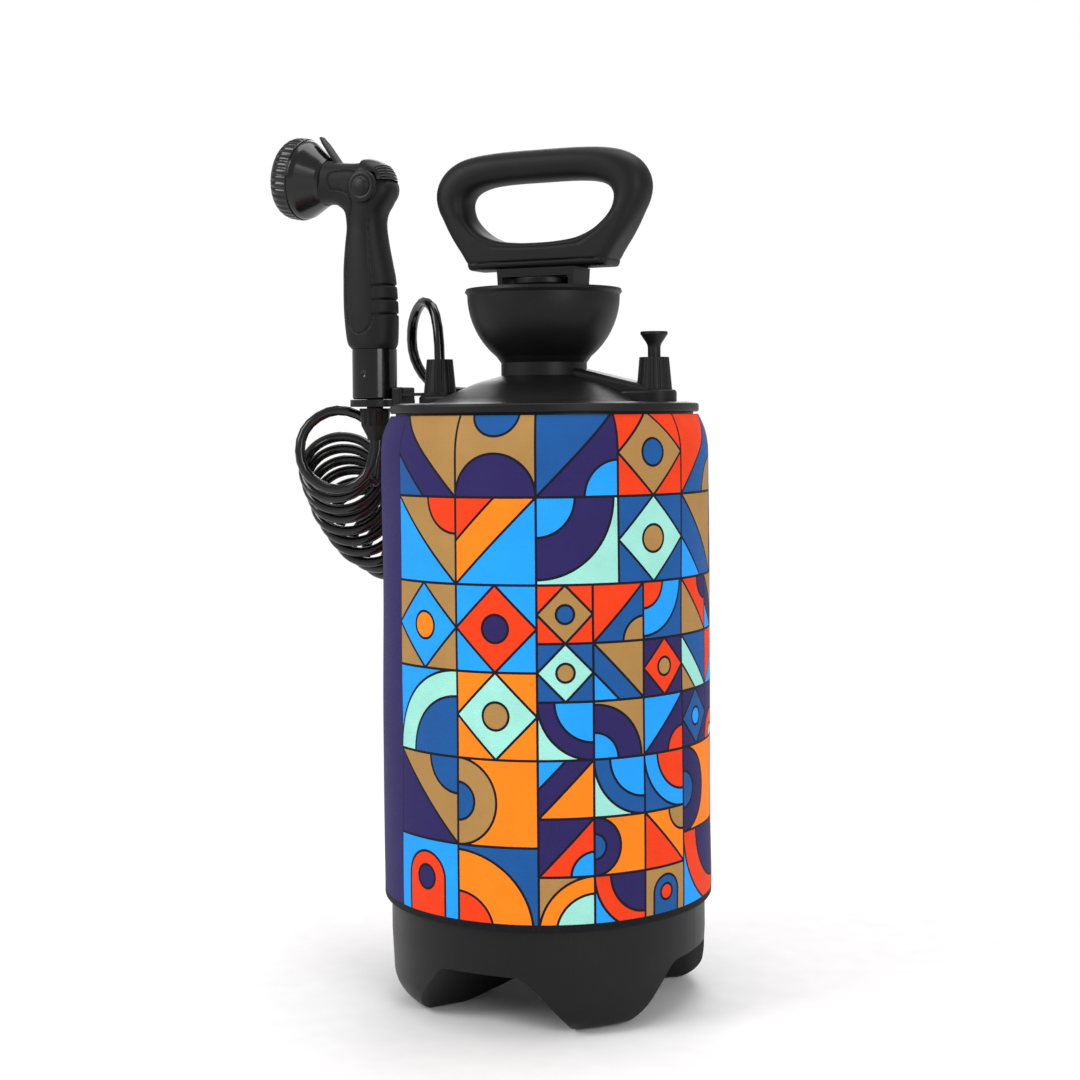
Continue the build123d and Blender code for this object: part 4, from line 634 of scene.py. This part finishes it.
@dataclass
class Hose:
    """The hose: a lead from the outlet, a long helix about the coil's axis and a lead to the handset."""

    radius: float = 3.25
    coil_radius: float = 24.25
    open_pitch: float = 9.0
    hidden_pitch: float = 12.0
    outlet_route: tuple[Point, ...] = (
        (-71.0, 0.0, 30.2), (-71.0, 0.0, 60.0), (-88.5, 14.0, 75.5), (-108.0, 31.0, 62.0), (-112.0, 39.0, 36.0),
        (-96.0, 39.0, 17.0), (-74.0, 51.0, 14.5), (-62.0, 74.0, 16.0), (-63.0, 99.0, 7.0), (-68.5, 112.0, -14.0),
        (-70.0, 114.0, -29.0),
    )
    handset_route: tuple[Point, ...] = (
        (-117.4, 0.0, -9.0), (-117.5, 0.6, -35.0), (-141.0, -6.9, -49.5), (-164.0, -14.9, -35.5),
        (-165.1, -12.7, -7.0), (-144.2, -0.1, 7.5), (-122.6, 13.4, -5.5), (-125.5, 18.5, -31.0),
        (-128.5, 19.5, -45.0),
    )
    coil_route: tuple[Point, ...] = (
        (-147.1, 4.2, -24.0), (-152.8, 17.0, -34.0), (-154.5, 28.4, -50.0), (-151.4, 40.8, -67.0),
        (-140.7, 55.7, -83.0), (-122.8, 74.0, -90.0), (-105.8, 91.9, -80.0), (-95.1, 104.6, -62.0),
        (-90.0, 110.3, -40.0), (-89.0, 111.0, -18.0),
    )
    ring_normal: Point = (-0.35, 0.80, -0.50)

    @staticmethod
    def spline(name: str, points: np.ndarray, resolution: int) -> bpy.types.Object:
        """Makes a curve of one NURBS spline with these control points.

        Args:
            name: The curve's name.
            points: The control points in metres.
            resolution: How many steps each control point takes.

        Returns:
            The curve object.
        """
        curve = bpy.data.curves.new(name, "CURVE")
        curve.dimensions = "3D"
        line = curve.splines.new("NURBS")
        line.points.add(len(points) - 1)
        line.points.foreach_set("co", np.c_[points, np.ones(len(points))].astype(np.float32).ravel())
        line.order_u = 3
        line.use_endpoint_u = True
        line.resolution_u = resolution
        made = bpy.data.objects.new(name, curve)
        bpy.context.scene.collection.objects.link(made)
        return made

    @staticmethod
    def spline_line(points: np.ndarray) -> np.ndarray:
        """The points along the NURBS spline of some control points, read from a curve with no bevel."""
        scratch = Hose.spline("scratch_route", points, 24)
        bpy.context.view_layer.update()
        mesh = bpy.data.meshes.new_from_object(scratch)
        line = np.array([vertex.co for vertex in mesh.vertices])
        bpy.data.meshes.remove(mesh)
        bpy.data.objects.remove(scratch)
        return line

    @staticmethod
    def lifted(route: tuple[Point, ...]) -> np.ndarray:
        """A route about the sleeve's edge as points about the tank's foot."""
        return np.array(route) + (0.0, 0.0, EDGE)

    def helix(self) -> np.ndarray:
        """The turns of the coil, from the handset's end to the outlet's end.

        The centreline stands at the coil's radius from its axis, at an angle that grows with the distance
        along the axis by one turn per pitch, and grows slower at both ends, so that the hose leaves smoothly.

        Returns:
            Control points about the tank's axis, in millimetres, a twelfth of a turn apart.
        """
        axis = self.spline_line(self.lifted(self.coil_route) * MM) / MM
        steps = np.linalg.norm(np.diff(axis, axis=0), axis=1)
        along = np.concatenate([[0.0], np.cumsum(steps)])
        s = np.linspace(8.0, along[-1] - 22.0, 6000)
        centre = np.stack([np.interp(s, along, axis[:, k]) for k in range(3)], axis=1)
        tangent = np.gradient(centre, axis=0)
        tangent /= np.linalg.norm(tangent, axis=1)[:, None]
        lean = np.array(self.ring_normal) / np.linalg.norm(self.ring_normal)
        share = ease((s - 60.0) / 70.0)[:, None]
        normal = lean * (1 - share) + tangent * share
        normal /= np.linalg.norm(normal, axis=1)[:, None]
        side = np.empty_like(normal)
        current = self.lifted(self.handset_route)[-1] - centre[0]
        for index, direction in enumerate(normal):
            current = current - direction * (current @ direction)
            current = current / np.linalg.norm(current)
            side[index] = current
        across = np.cross(normal, side)
        pitch = self.open_pitch + (self.hidden_pitch - self.open_pitch) * ease((s - 90.0) / 20.0)
        rate = 2 * math.pi / pitch * ease((s - s[0] + 2.0) / 10.0) * ease((s[-1] - s) / 26.0)
        angle = np.concatenate([[0.0], np.cumsum((rate[1:] + rate[:-1]) / 2 * np.diff(s))])
        goal = self.lifted(self.outlet_route)[-1] - centre[-1]
        wanted = math.atan2(goal @ across[-1], goal @ side[-1])
        turns = round((angle[-1] - wanted) / (2 * math.pi))
        angle *= (wanted + 2 * math.pi * turns) / angle[-1]
        spread = self.coil_radius / 0.966 - 2.0 * (1 - ease((s - s[0]) / 10.0)) - 3.0 * (1 - ease((s[-1] - s) / 20.0))
        spread = spread + 0.5 * np.sin(angle / 2.7) + 0.35 * np.sin(angle / 5.1 + 1.0)
        line = centre + spread[:, None] * (np.cos(angle)[:, None] * side + np.sin(angle)[:, None] * across)
        run = np.concatenate([[0.0], np.cumsum(np.linalg.norm(np.diff(line, axis=0), axis=1))])
        count = int(run[-1] / (2 * math.pi * self.coil_radius / 12))
        marks = np.linspace(0, run[-1], count)
        return np.stack([np.interp(marks, run, line[:, k]) for k in range(3)], axis=1)

    def build(self, finish: bpy.types.Material) -> bpy.types.Object:
        """Args:
            finish: The hose's material.

        Returns:
            The hose.
        """
        points = np.concatenate([
            self.lifted(self.outlet_route), self.helix()[::-1], self.lifted(self.handset_route)[::-1],
        ])
        line = self.spline_line(row_points(points))
        hose = self.spline("coiled_hose", row_points(points), 4)
        hose.data.bevel_depth = self.radius * MM
        hose.data.bevel_resolution = 3
        hose.data.use_fill_caps = True
        hose.data.materials.append(finish)
        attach(hose, "tank_body")
        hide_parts("hose_outlet_lead", "hose_coil", "hose_handset_lead")
        return hose


@dataclass
class DHandle:
    """The D-shaped handle: round in section at the grip and square at the base, with a groove above the base."""

    half_outline: tuple[tuple[float, float], ...] = (
        (0.0, 159.2), (14.0, 159.2), (28.0, 158.9), (42.0, 157.8), (53.5, 155.2), (62.3, 150.0), (67.7, 142.8),
        (69.6, 134.5), (67.8, 125.5), (62.6, 116.0), (56.3, 106.6), (50.2, 98.2), (46.9, 92.9), (45.7, 89.8),
        (44.9, 88.2), (43.6, 87.7), (40.5, 87.7), (33.0, 87.7), (18.0, 87.7), (0.0, 87.7),
    )
    half_window: tuple[tuple[float, float], ...] = (
        (0.0, 139.6), (12.5, 139.6), (24.5, 139.3), (35.5, 138.1), (43.8, 135.1), (47.6, 129.8), (46.9, 122.9),
        (43.0, 115.7), (36.0, 109.4), (26.0, 105.2), (13.0, 103.4), (0.0, 103.0),
    )
    centre: float = 124.0
    thickness: float = 26.0
    groove: float = 91.9

    @staticmethod
    def mirrored(half: tuple[tuple[float, float], ...], count: int) -> np.ndarray:
        """The smooth closed outline of a half outline and its mirror image."""
        return through(list(half) + [(-x, z) for x, z in half[-2:0:-1]], count, closed=True)

    def build(self, finish: bpy.types.Material) -> bpy.types.Object:
        """Makes the handle.

        At each place of the outer outline O, with I where the ray to the window's middle meets the window, the
        section is (O + I) / 2 + c (O - I) / 2 + s (thickness / 2) Y, with (c, s) on a squircle. Its power grows
        from 2.3 at the grip to 7 at the base.

        Args:
            finish: The handle's material.

        Returns:
            The handle.
        """
        outer = self.mirrored(self.half_outline, 360)
        inner = self.mirrored(self.half_window, 1440)
        middle = np.array([0.0, self.centre])
        wanted = np.arctan2(*(outer - middle).T[::-1])
        known = np.arctan2(*(inner - middle).T[::-1])
        inner = np.stack([np.interp(wanted, known, column, period=2 * math.pi) for column in inner.T], axis=1)
        rows = []
        for far, near in zip(outer, inner):
            squareness = 1 - ease((far[1] - 88.0) / 34.0)
            c, s = squircle(2.3 + 4.7 * squareness, 160).T
            x = (far[0] + near[0]) / 2 + c * (far[0] - near[0]) / 2
            z = (far[1] + near[1]) / 2 + c * (far[1] - near[1]) / 2
            line = np.exp(-((z - self.groove) / 0.5) ** 2)
            seam = np.exp(-((c + 0.58) / 0.08) ** 2) * ease((138.0 - near[1]) / 8.0)
            y = s * self.thickness / 2 * (1 - 0.06 * line - 0.035 * seam)
            rows.append(np.stack([x * (1 - 0.012 * line), y, z + EDGE], axis=1))
        handle = Skin.sheet("soft_handle", row_points(np.array(rows)), (True, True), sharp=50)
        handle.data.materials.append(finish)
        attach(handle, "handle_body")
        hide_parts("handle_grip")
        return handle


@dataclass
class Handset:
    """The handset's grip with its elbow and tab, the thumb lever and the fluted ring."""

    pivot: tuple[float, float] = (-129.5, 145.8)
    ball: tuple[float, float] = (-119.0, 145.4)
    boss_centre: tuple[float, float] = (-117.0, 143.0)
    tilt: float = 8.9
    stations: tuple[tuple[float, ...], ...] = (
        (-104.2, 42.3, -131.5, 42.3, 13.0), (-102.4, 47.5, -134.8, 47.5, 13.8), (-101.9, 66.0, -137.0, 66.0, 14.0),
        (-103.3, 85.0, -137.2, 85.0, 13.7), (-105.3, 95.2, -136.9, 95.2, 13.5), (-108.0, 108.0, -135.6, 108.0, 13.0),
        (-109.6, 120.0, -134.4, 117.0, 12.5), (-108.6, 127.5, -134.4, 123.0, 12.6), (-104.9, 133.6, -135.0, 127.2, 12.9),
        (-102.0, 139.6, -136.2, 129.4, 13.2), (-102.2, 144.4, -137.6, 130.8, 13.4), (-105.4, 149.2, -139.2, 132.0, 13.4),
        (-107.8, 153.8, -140.8, 133.0, 13.4), (-112.4, 157.7, -142.6, 133.8, 13.4), (-119.4, 159.2, -144.6, 134.3, 13.4),
        (-128.8, 159.3, -146.8, 134.6, 13.6), (-139.0, 160.3, -149.4, 134.8, 13.8), (-147.2, 162.2, -151.6, 134.6, 14.0),
    )
    panel: tuple[tuple[float, float], ...] = (
        (-121.3, 52.0), (-126.2, 54.4), (-129.6, 60.0), (-131.2, 80.0), (-130.2, 104.7), (-128.2, 124.0), (-125.9, 133.5),
        (-128.2, 138.8), (-133.2, 141.4), (-139.6, 142.8), (-142.4, 147.4), (-141.4, 152.0), (-136.5, 153.6),
        (-126.0, 153.4), (-119.5, 150.0), (-116.0, 142.0), (-115.0, 129.3), (-114.8, 113.1), (-113.4, 89.3),
        (-111.6, 77.0), (-111.2, 65.4), (-112.4, 58.0), (-116.1, 53.5),
    )
    slits: tuple[float, ...] = (64.0, 73.0, 82.0)
    hood_power: float = 2.6

    def grip(self, finish: bpy.types.Material) -> bpy.types.Object:
        """Makes the grip: oval rings between the rear and the front line of the stations, and the tab.

        A groove runs round the side panel where the distance to its line is small, and three slits for the
        fingers are let into the rear.

        Args:
            finish: The grip's material.

        Returns:
            The grip.
        """
        rows = through(np.array(self.stations), 320)
        section = [squircle(2.25 + 0.35 * ease((row[1] - 118.0) / 20.0), 176) for row in rows]
        c, s = np.moveaxis(np.array(section), 2, 0)
        x = (rows[:, 0] + rows[:, 2])[:, None] / 2 + (rows[:, 0] - rows[:, 2])[:, None] / 2 * c
        z = (rows[:, 1] + rows[:, 3])[:, None] / 2 + (rows[:, 1] - rows[:, 3])[:, None] / 2 * c
        y = rows[:, 4][:, None] * s
        far = np.full(x.shape, 99.0)
        for place in through(np.array(self.panel), 480, closed=True):
            far = np.minimum(far, np.hypot(x - place[0], z - place[1]))
        y = y - np.sign(y) * 0.85 * np.exp(-((far / 0.5) ** 2)) * ease((np.abs(s) - 0.35) / 0.2)
        rear = ease((c - 0.35) / 0.25)
        for height in self.slits:
            x = x - 1.5 * rear * np.exp(-(((z - height - 0.06 * (x + 102)) / 0.6) ** 2)) * (x > -125)
        grip = Skin.solid("handset_form", [row_points(np.stack([x, y, z + EDGE], axis=-1)), self.tab()], sharp=50)
        grip.data.materials.append(finish)
        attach(grip, "handset_body")
        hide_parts("handset_grip", "inlay_near", "inlay_far", "hook_tab", "lever_pin")
        return grip

    def tab(self) -> np.ndarray:
        """The flat tab behind the bell: a thin bar from the neck up along the bell, narrower at its tip."""
        share = np.linspace(0, 1, 14)[:, None]
        c, s = squircle(5.0, 32).T
        foot, tip = np.array([-141.4, 159.4]), np.array([-154.4, 177.4])
        along = (tip - foot) / np.linalg.norm(tip - foot)
        thick = 1.15 * (1 - 0.35 * share ** 2) * c
        x = foot[0] + (tip[0] - foot[0]) * share - along[1] * thick
        z = foot[1] + (tip[1] - foot[1]) * share + along[0] * thick
        y = 4.8 * (1 - 0.4 * ease((share - 0.7) / 0.3)) * s
        return row_points(np.stack([x, y + 0 * x, z + EDGE], axis=-1))

    def hood(self) -> np.ndarray:
        """The lever's hood: a shell over the ball, wide at its arms and ridged at the thumb's end."""
        angle = np.radians(np.linspace(8, 95, 175))[:, None]
        widest = 0.80 + 0.185 * ease((angle - math.radians(28)) / 0.5)
        across = widest * np.sin(np.linspace(-1, 1, 96) * math.pi / 2)
        down = (1 - np.abs(across) ** self.hood_power) ** (1 / self.hood_power)
        ridge = 0.5 * (0.5 + 0.5 * np.cos(angle * 48)) * (1 - ease((angle - math.radians(46)) / 0.08))
        ridge = ridge * (1 - ease((np.abs(across) - 0.66) / 0.08))
        radius = np.concatenate([(16.0 + ridge) * down, (14.4 * down)[:, ::-1]], axis=1)
        y = np.concatenate([15.5 * across, (13.9 * across)[:, ::-1]], axis=1)
        x = self.ball[0] + radius * np.cos(angle)
        z = self.ball[1] + radius * np.sin(angle)
        return row_points(np.stack([x, y, z + EDGE], axis=-1))

    def boss(self, side: int) -> np.ndarray:
        """The round end of one arm of the lever, with a grooved ring and the pivot's button."""
        turn = np.linspace(0, 2 * math.pi, 96, endpoint=False)
        profile = ((10.0, 13.6), (10.0, 15.3), (9.5, 15.9), (7.0, 16.2), (6.6, 16.0), (6.2, 16.0), (5.9, 16.6),
                   (4.9, 16.7), (4.5, 17.3), (4.0, 17.5), (0.5, 17.6))
        rings = [np.stack([self.boss_centre[0] + radius * np.cos(turn), np.full(turn.shape, side * depth),
                           self.boss_centre[1] + EDGE + radius * np.sin(turn)], axis=1) for radius, depth in profile]
        return row_points(np.array(rings))

    def lever(self, finish: bpy.types.Material) -> bpy.types.Object:
        """Makes the thumb lever from its hood and its two bosses."""
        lever = Skin.solid("lever_form", [self.hood(), self.boss(1), self.boss(-1)], sharp=50)
        lever.data.materials.append(finish)
        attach(lever, "lever_body")
        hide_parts("thumb_lever")
        return lever

    def ring(self, finish: bpy.types.Material) -> bpy.types.Object:
        """Makes the fluted ring: its profile turned about the head's axis, with cosine flutes on its side."""
        profile = through(np.array([
            (36.6, 25.4), (36.7, 25.8), (37.4, 26.0), (40.5, 26.1), (43.8, 25.9), (46.8, 25.0), (48.8, 23.5), (49.8, 21.9),
            (49.7, 21.0), (49.0, 20.6), (47.6, 21.0), (46.0, 22.9), (43.0, 23.1), (41.0, 23.3), (40.4, 24.2), (40.3, 25.3),
            (38.6, 25.4),
        ]), 110, closed=True)
        angle = np.linspace(0, 2 * math.pi, 432, endpoint=False)
        along, radius = profile[:, 0][:, None], profile[:, 1][:, None]
        outside = np.maximum(ease((radius - 25.6) / 0.3), ease((along - 42.5) / 0.8)) * ease((49.3 - along) / 1.2)
        outside = outside * (radius > 23.4) * ease((along - 36.9) / 0.7)
        radius = radius - 0.75 * outside * (0.5 + 0.5 * np.cos(36 * angle)) ** 2
        lean = math.radians(self.tilt)
        up, out = radius * np.cos(angle), radius * np.sin(angle)
        x = self.pivot[0] - along * math.cos(lean) + up * math.sin(lean)
        z = self.pivot[1] + along * math.sin(lean) + up * math.cos(lean)
        ring = Skin.sheet("fluted_ring", row_points(np.stack([x, out, z + EDGE], axis=-1)), (True, True), sharp=50)
        ring.data.materials.append(finish)
        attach(ring, "spray_body")
        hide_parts("spray_ring")
        return ring


@dataclass
class Studio:
    """The camera of the photograph, a pale floor and soft lamps."""

    distance: float = 1083.0
    azimuth: float = 25.0
    pitch: float = 0.8
    roll: float = 0.47
    lens: float = 60.0
    frame_pixels: float = 1080.0
    horizon_drop: float = 125.0
    side_step: float = -2.7
    near_floor: float = 0.3
    far_floor: float = 0.62

    def camera(self) -> None:
        """Sets the camera level with the sleeve's upper edge and a little pitched down."""
        turn = math.radians(self.azimuth)
        back = np.array([math.sin(turn), -math.cos(turn), 0.0])
        right = np.array([math.cos(turn), math.sin(turn), 0.0])
        place = row_points(back * self.distance + right * self.side_step + (0, 0, EDGE))
        data = bpy.data.cameras.new("photo_camera")
        data.lens = self.lens
        data.sensor_width = 36.0
        pixels = self.lens / data.sensor_width * self.frame_pixels
        data.shift_y = -(self.horizon_drop - pixels * math.tan(math.radians(self.pitch))) / self.frame_pixels
        data.dof.use_dof = False
        data.clip_start, data.clip_end = 0.05, 50.0
        made = bpy.data.objects.new("photo_camera", data)
        made.location = place
        made.rotation_euler = Euler((math.radians(90 - self.pitch), math.radians(self.roll), turn), "XYZ")
        bpy.context.scene.collection.objects.link(made)
        bpy.context.scene.camera = made

    def lamp(self, name: str, place: Point, target: Point, size: float, power: float) -> None:
        """Adds a square soft lamp that faces a target, both in metres."""
        data = bpy.data.lights.new(name, "AREA")
        data.shape = "RECTANGLE"
        data.size = size
        data.size_y = size * 1.4
        data.energy = power
        made = bpy.data.objects.new(name, data)
        made.location = place
        aim = np.array(target) - np.array(place)
        flat = math.hypot(aim[0], aim[1])
        made.rotation_euler = Euler((math.atan2(flat, -aim[2]), 0.0, math.atan2(aim[0], -aim[1]) + math.pi), "XYZ")
        bpy.context.scene.collection.objects.link(made)

    def backdrop(self) -> None:
        """Adds the pale floor and the white surroundings that the camera and the gloss see."""
        size = 9.0
        corners = [(-size, -size, 0), (size, -size, 0), (size, size, 0), (-size, size, 0)]
        mesh = bpy.data.meshes.new("pale_floor")
        mesh.from_pydata(corners, [], [(0, 1, 2, 3)])
        floor = bpy.data.objects.new("pale_floor", mesh)
        bpy.context.scene.collection.objects.link(floor)
        paint = bpy.data.materials.new("pale_floor")
        paint.use_nodes = True
        graph = Graph(paint.node_tree)
        shader = paint.node_tree.nodes["Principled BSDF"]
        shader.inputs["Roughness"].default_value = 0.9
        shader.inputs["Specular IOR Level"].default_value = 0.1
        speck = graph.noise(graph.node("ShaderNodeTexCoord").outputs["Object"], 60.0, 3.0)
        tint = graph.node("ShaderNodeCombineColor")
        for index in range(3):
            graph.feed(tint.inputs[index], graph.remap(speck, 0.3, 0.7, 0.9, 0.93))
        graph.feed(shader.inputs["Base Color"], tint.outputs[0])
        rays = graph.node("ShaderNodeLightPath")
        place = graph.node("ShaderNodeTexCoord").outputs["Object"]
        from_axis = graph.vector("LENGTH", graph.vector("SUBTRACT", place, (AXIS_X * MM, 0.0, 0.0)))
        far = graph.remap(from_axis, self.near_floor, self.far_floor, 0.0, 1.0)
        far = graph.math("MULTIPLY", far, graph.math("MAXIMUM", rays.outputs["Is Camera Ray"], rays.outputs["Is Glossy Ray"]))
        white = graph.node("ShaderNodeEmission")
        white.inputs["Color"].default_value = (1.0, 1.0, 1.0, 1.0)
        merge = graph.node("ShaderNodeMixShader")
        graph.feed(merge.inputs[0], far)
        graph.feed(merge.inputs[1], shader.outputs[0])
        graph.feed(merge.inputs[2], white.outputs[0])
        graph.feed(paint.node_tree.nodes["Material Output"].inputs[0], merge.outputs[0])
        mesh.materials.append(paint)
        world = bpy.data.worlds.new("white_studio")
        world.use_nodes = True
        bpy.context.scene.world = world
        graph = Graph(world.node_tree)
        glow = world.node_tree.nodes["Background"]
        rays = graph.node("ShaderNodeLightPath")
        seen = graph.math("MAXIMUM", rays.outputs["Is Camera Ray"], rays.outputs["Is Transmission Ray"])
        glow.inputs["Color"].default_value = (1.0, 1.0, 1.0, 1.0)
        graph.feed(glow.inputs["Strength"], graph.mix(seen, 0.55, 1.0))

    def build(self) -> None:
        """Sets up camera, floor, world and lamps."""
        self.camera()
        self.backdrop()
        self.lamp("key_lamp", (-1.3, -1.5, 1.5), (0.0, 0.0, 0.3), 0.9, 26.0)
        self.lamp("fill_lamp", (1.6, -1.1, 0.9), (0.05, 0.0, 0.25), 0.8, 14.0)
        self.lamp("top_lamp", (0.2, 0.3, 1.8), (0.0, 0.0, 0.3), 0.9, 12.0)
        self.lamp("rim_lamp", (-0.6, 1.5, 1.1), (0.0, 0.0, 0.3), 0.8, 9.0)
        bpy.context.scene.view_settings.view_transform = "Standard"


class Wardrobe:
    """Gives the carried-over CAD pieces their finishes."""

    SLOTS = {
        "tank_plastic": Moulding.TANK,
        "fitting_plastic": Moulding.FITTING,
        "handle_plastic": Moulding.HANDLE,
        "grip_plastic": Moulding.GRIP,
        "inlay_rubber": Moulding.INLAY,
        "gloss_black": Moulding.GLOSS,
        "hose_plastic": Moulding.HOSE,
        "seal_rubber": Moulding.SEAL,
        "spring_steel": Moulding.STEEL,
        "clear_tube": Moulding.CLEAR,
        "neoprene": Moulding.SEAL,
    }

    def __init__(self) -> None:
        """Builds the shared group and one material per finish."""
        moulded = moulded_group()
        self.materials = {finish: finish.value.material(moulded) for finish in Moulding}

    def dress(self) -> None:
        """Sets each CAD node's material from its slot in the record."""
        for part in frame["record"]["subparts"]:
            node = frame["nodes"][part["node"]]
            finish = self.materials[self.SLOTS[part["material_slot"]]]
            if not node.material_slots:
                node.data.materials.append(finish)
            for slot in node.material_slots:
                slot.material = finish


def main() -> None:
    """Builds the studio, the hose, the sleeve and the finishes."""
    logging.basicConfig(level=logging.INFO)
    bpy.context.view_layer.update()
    Studio().build()
    wardrobe = Wardrobe()
    hose = Hose().build(wardrobe.materials[Moulding.HOSE])
    LOG.info("made %s", hose.name)
    sleeve = PrintedSleeve().build()
    LOG.info("made %s", sleeve.name)
    handset = Handset()
    for made in (
        DHandle().build(wardrobe.materials[Moulding.HANDLE]),
        handset.grip(wardrobe.materials[Moulding.GRIP]),
        handset.lever(wardrobe.materials[Moulding.FITTING]),
        handset.ring(wardrobe.materials[Moulding.GLOSS]),
    ):
        LOG.info("made %s", made.name)
    wardrobe.dress()


if __name__ == "__main__":
    main()
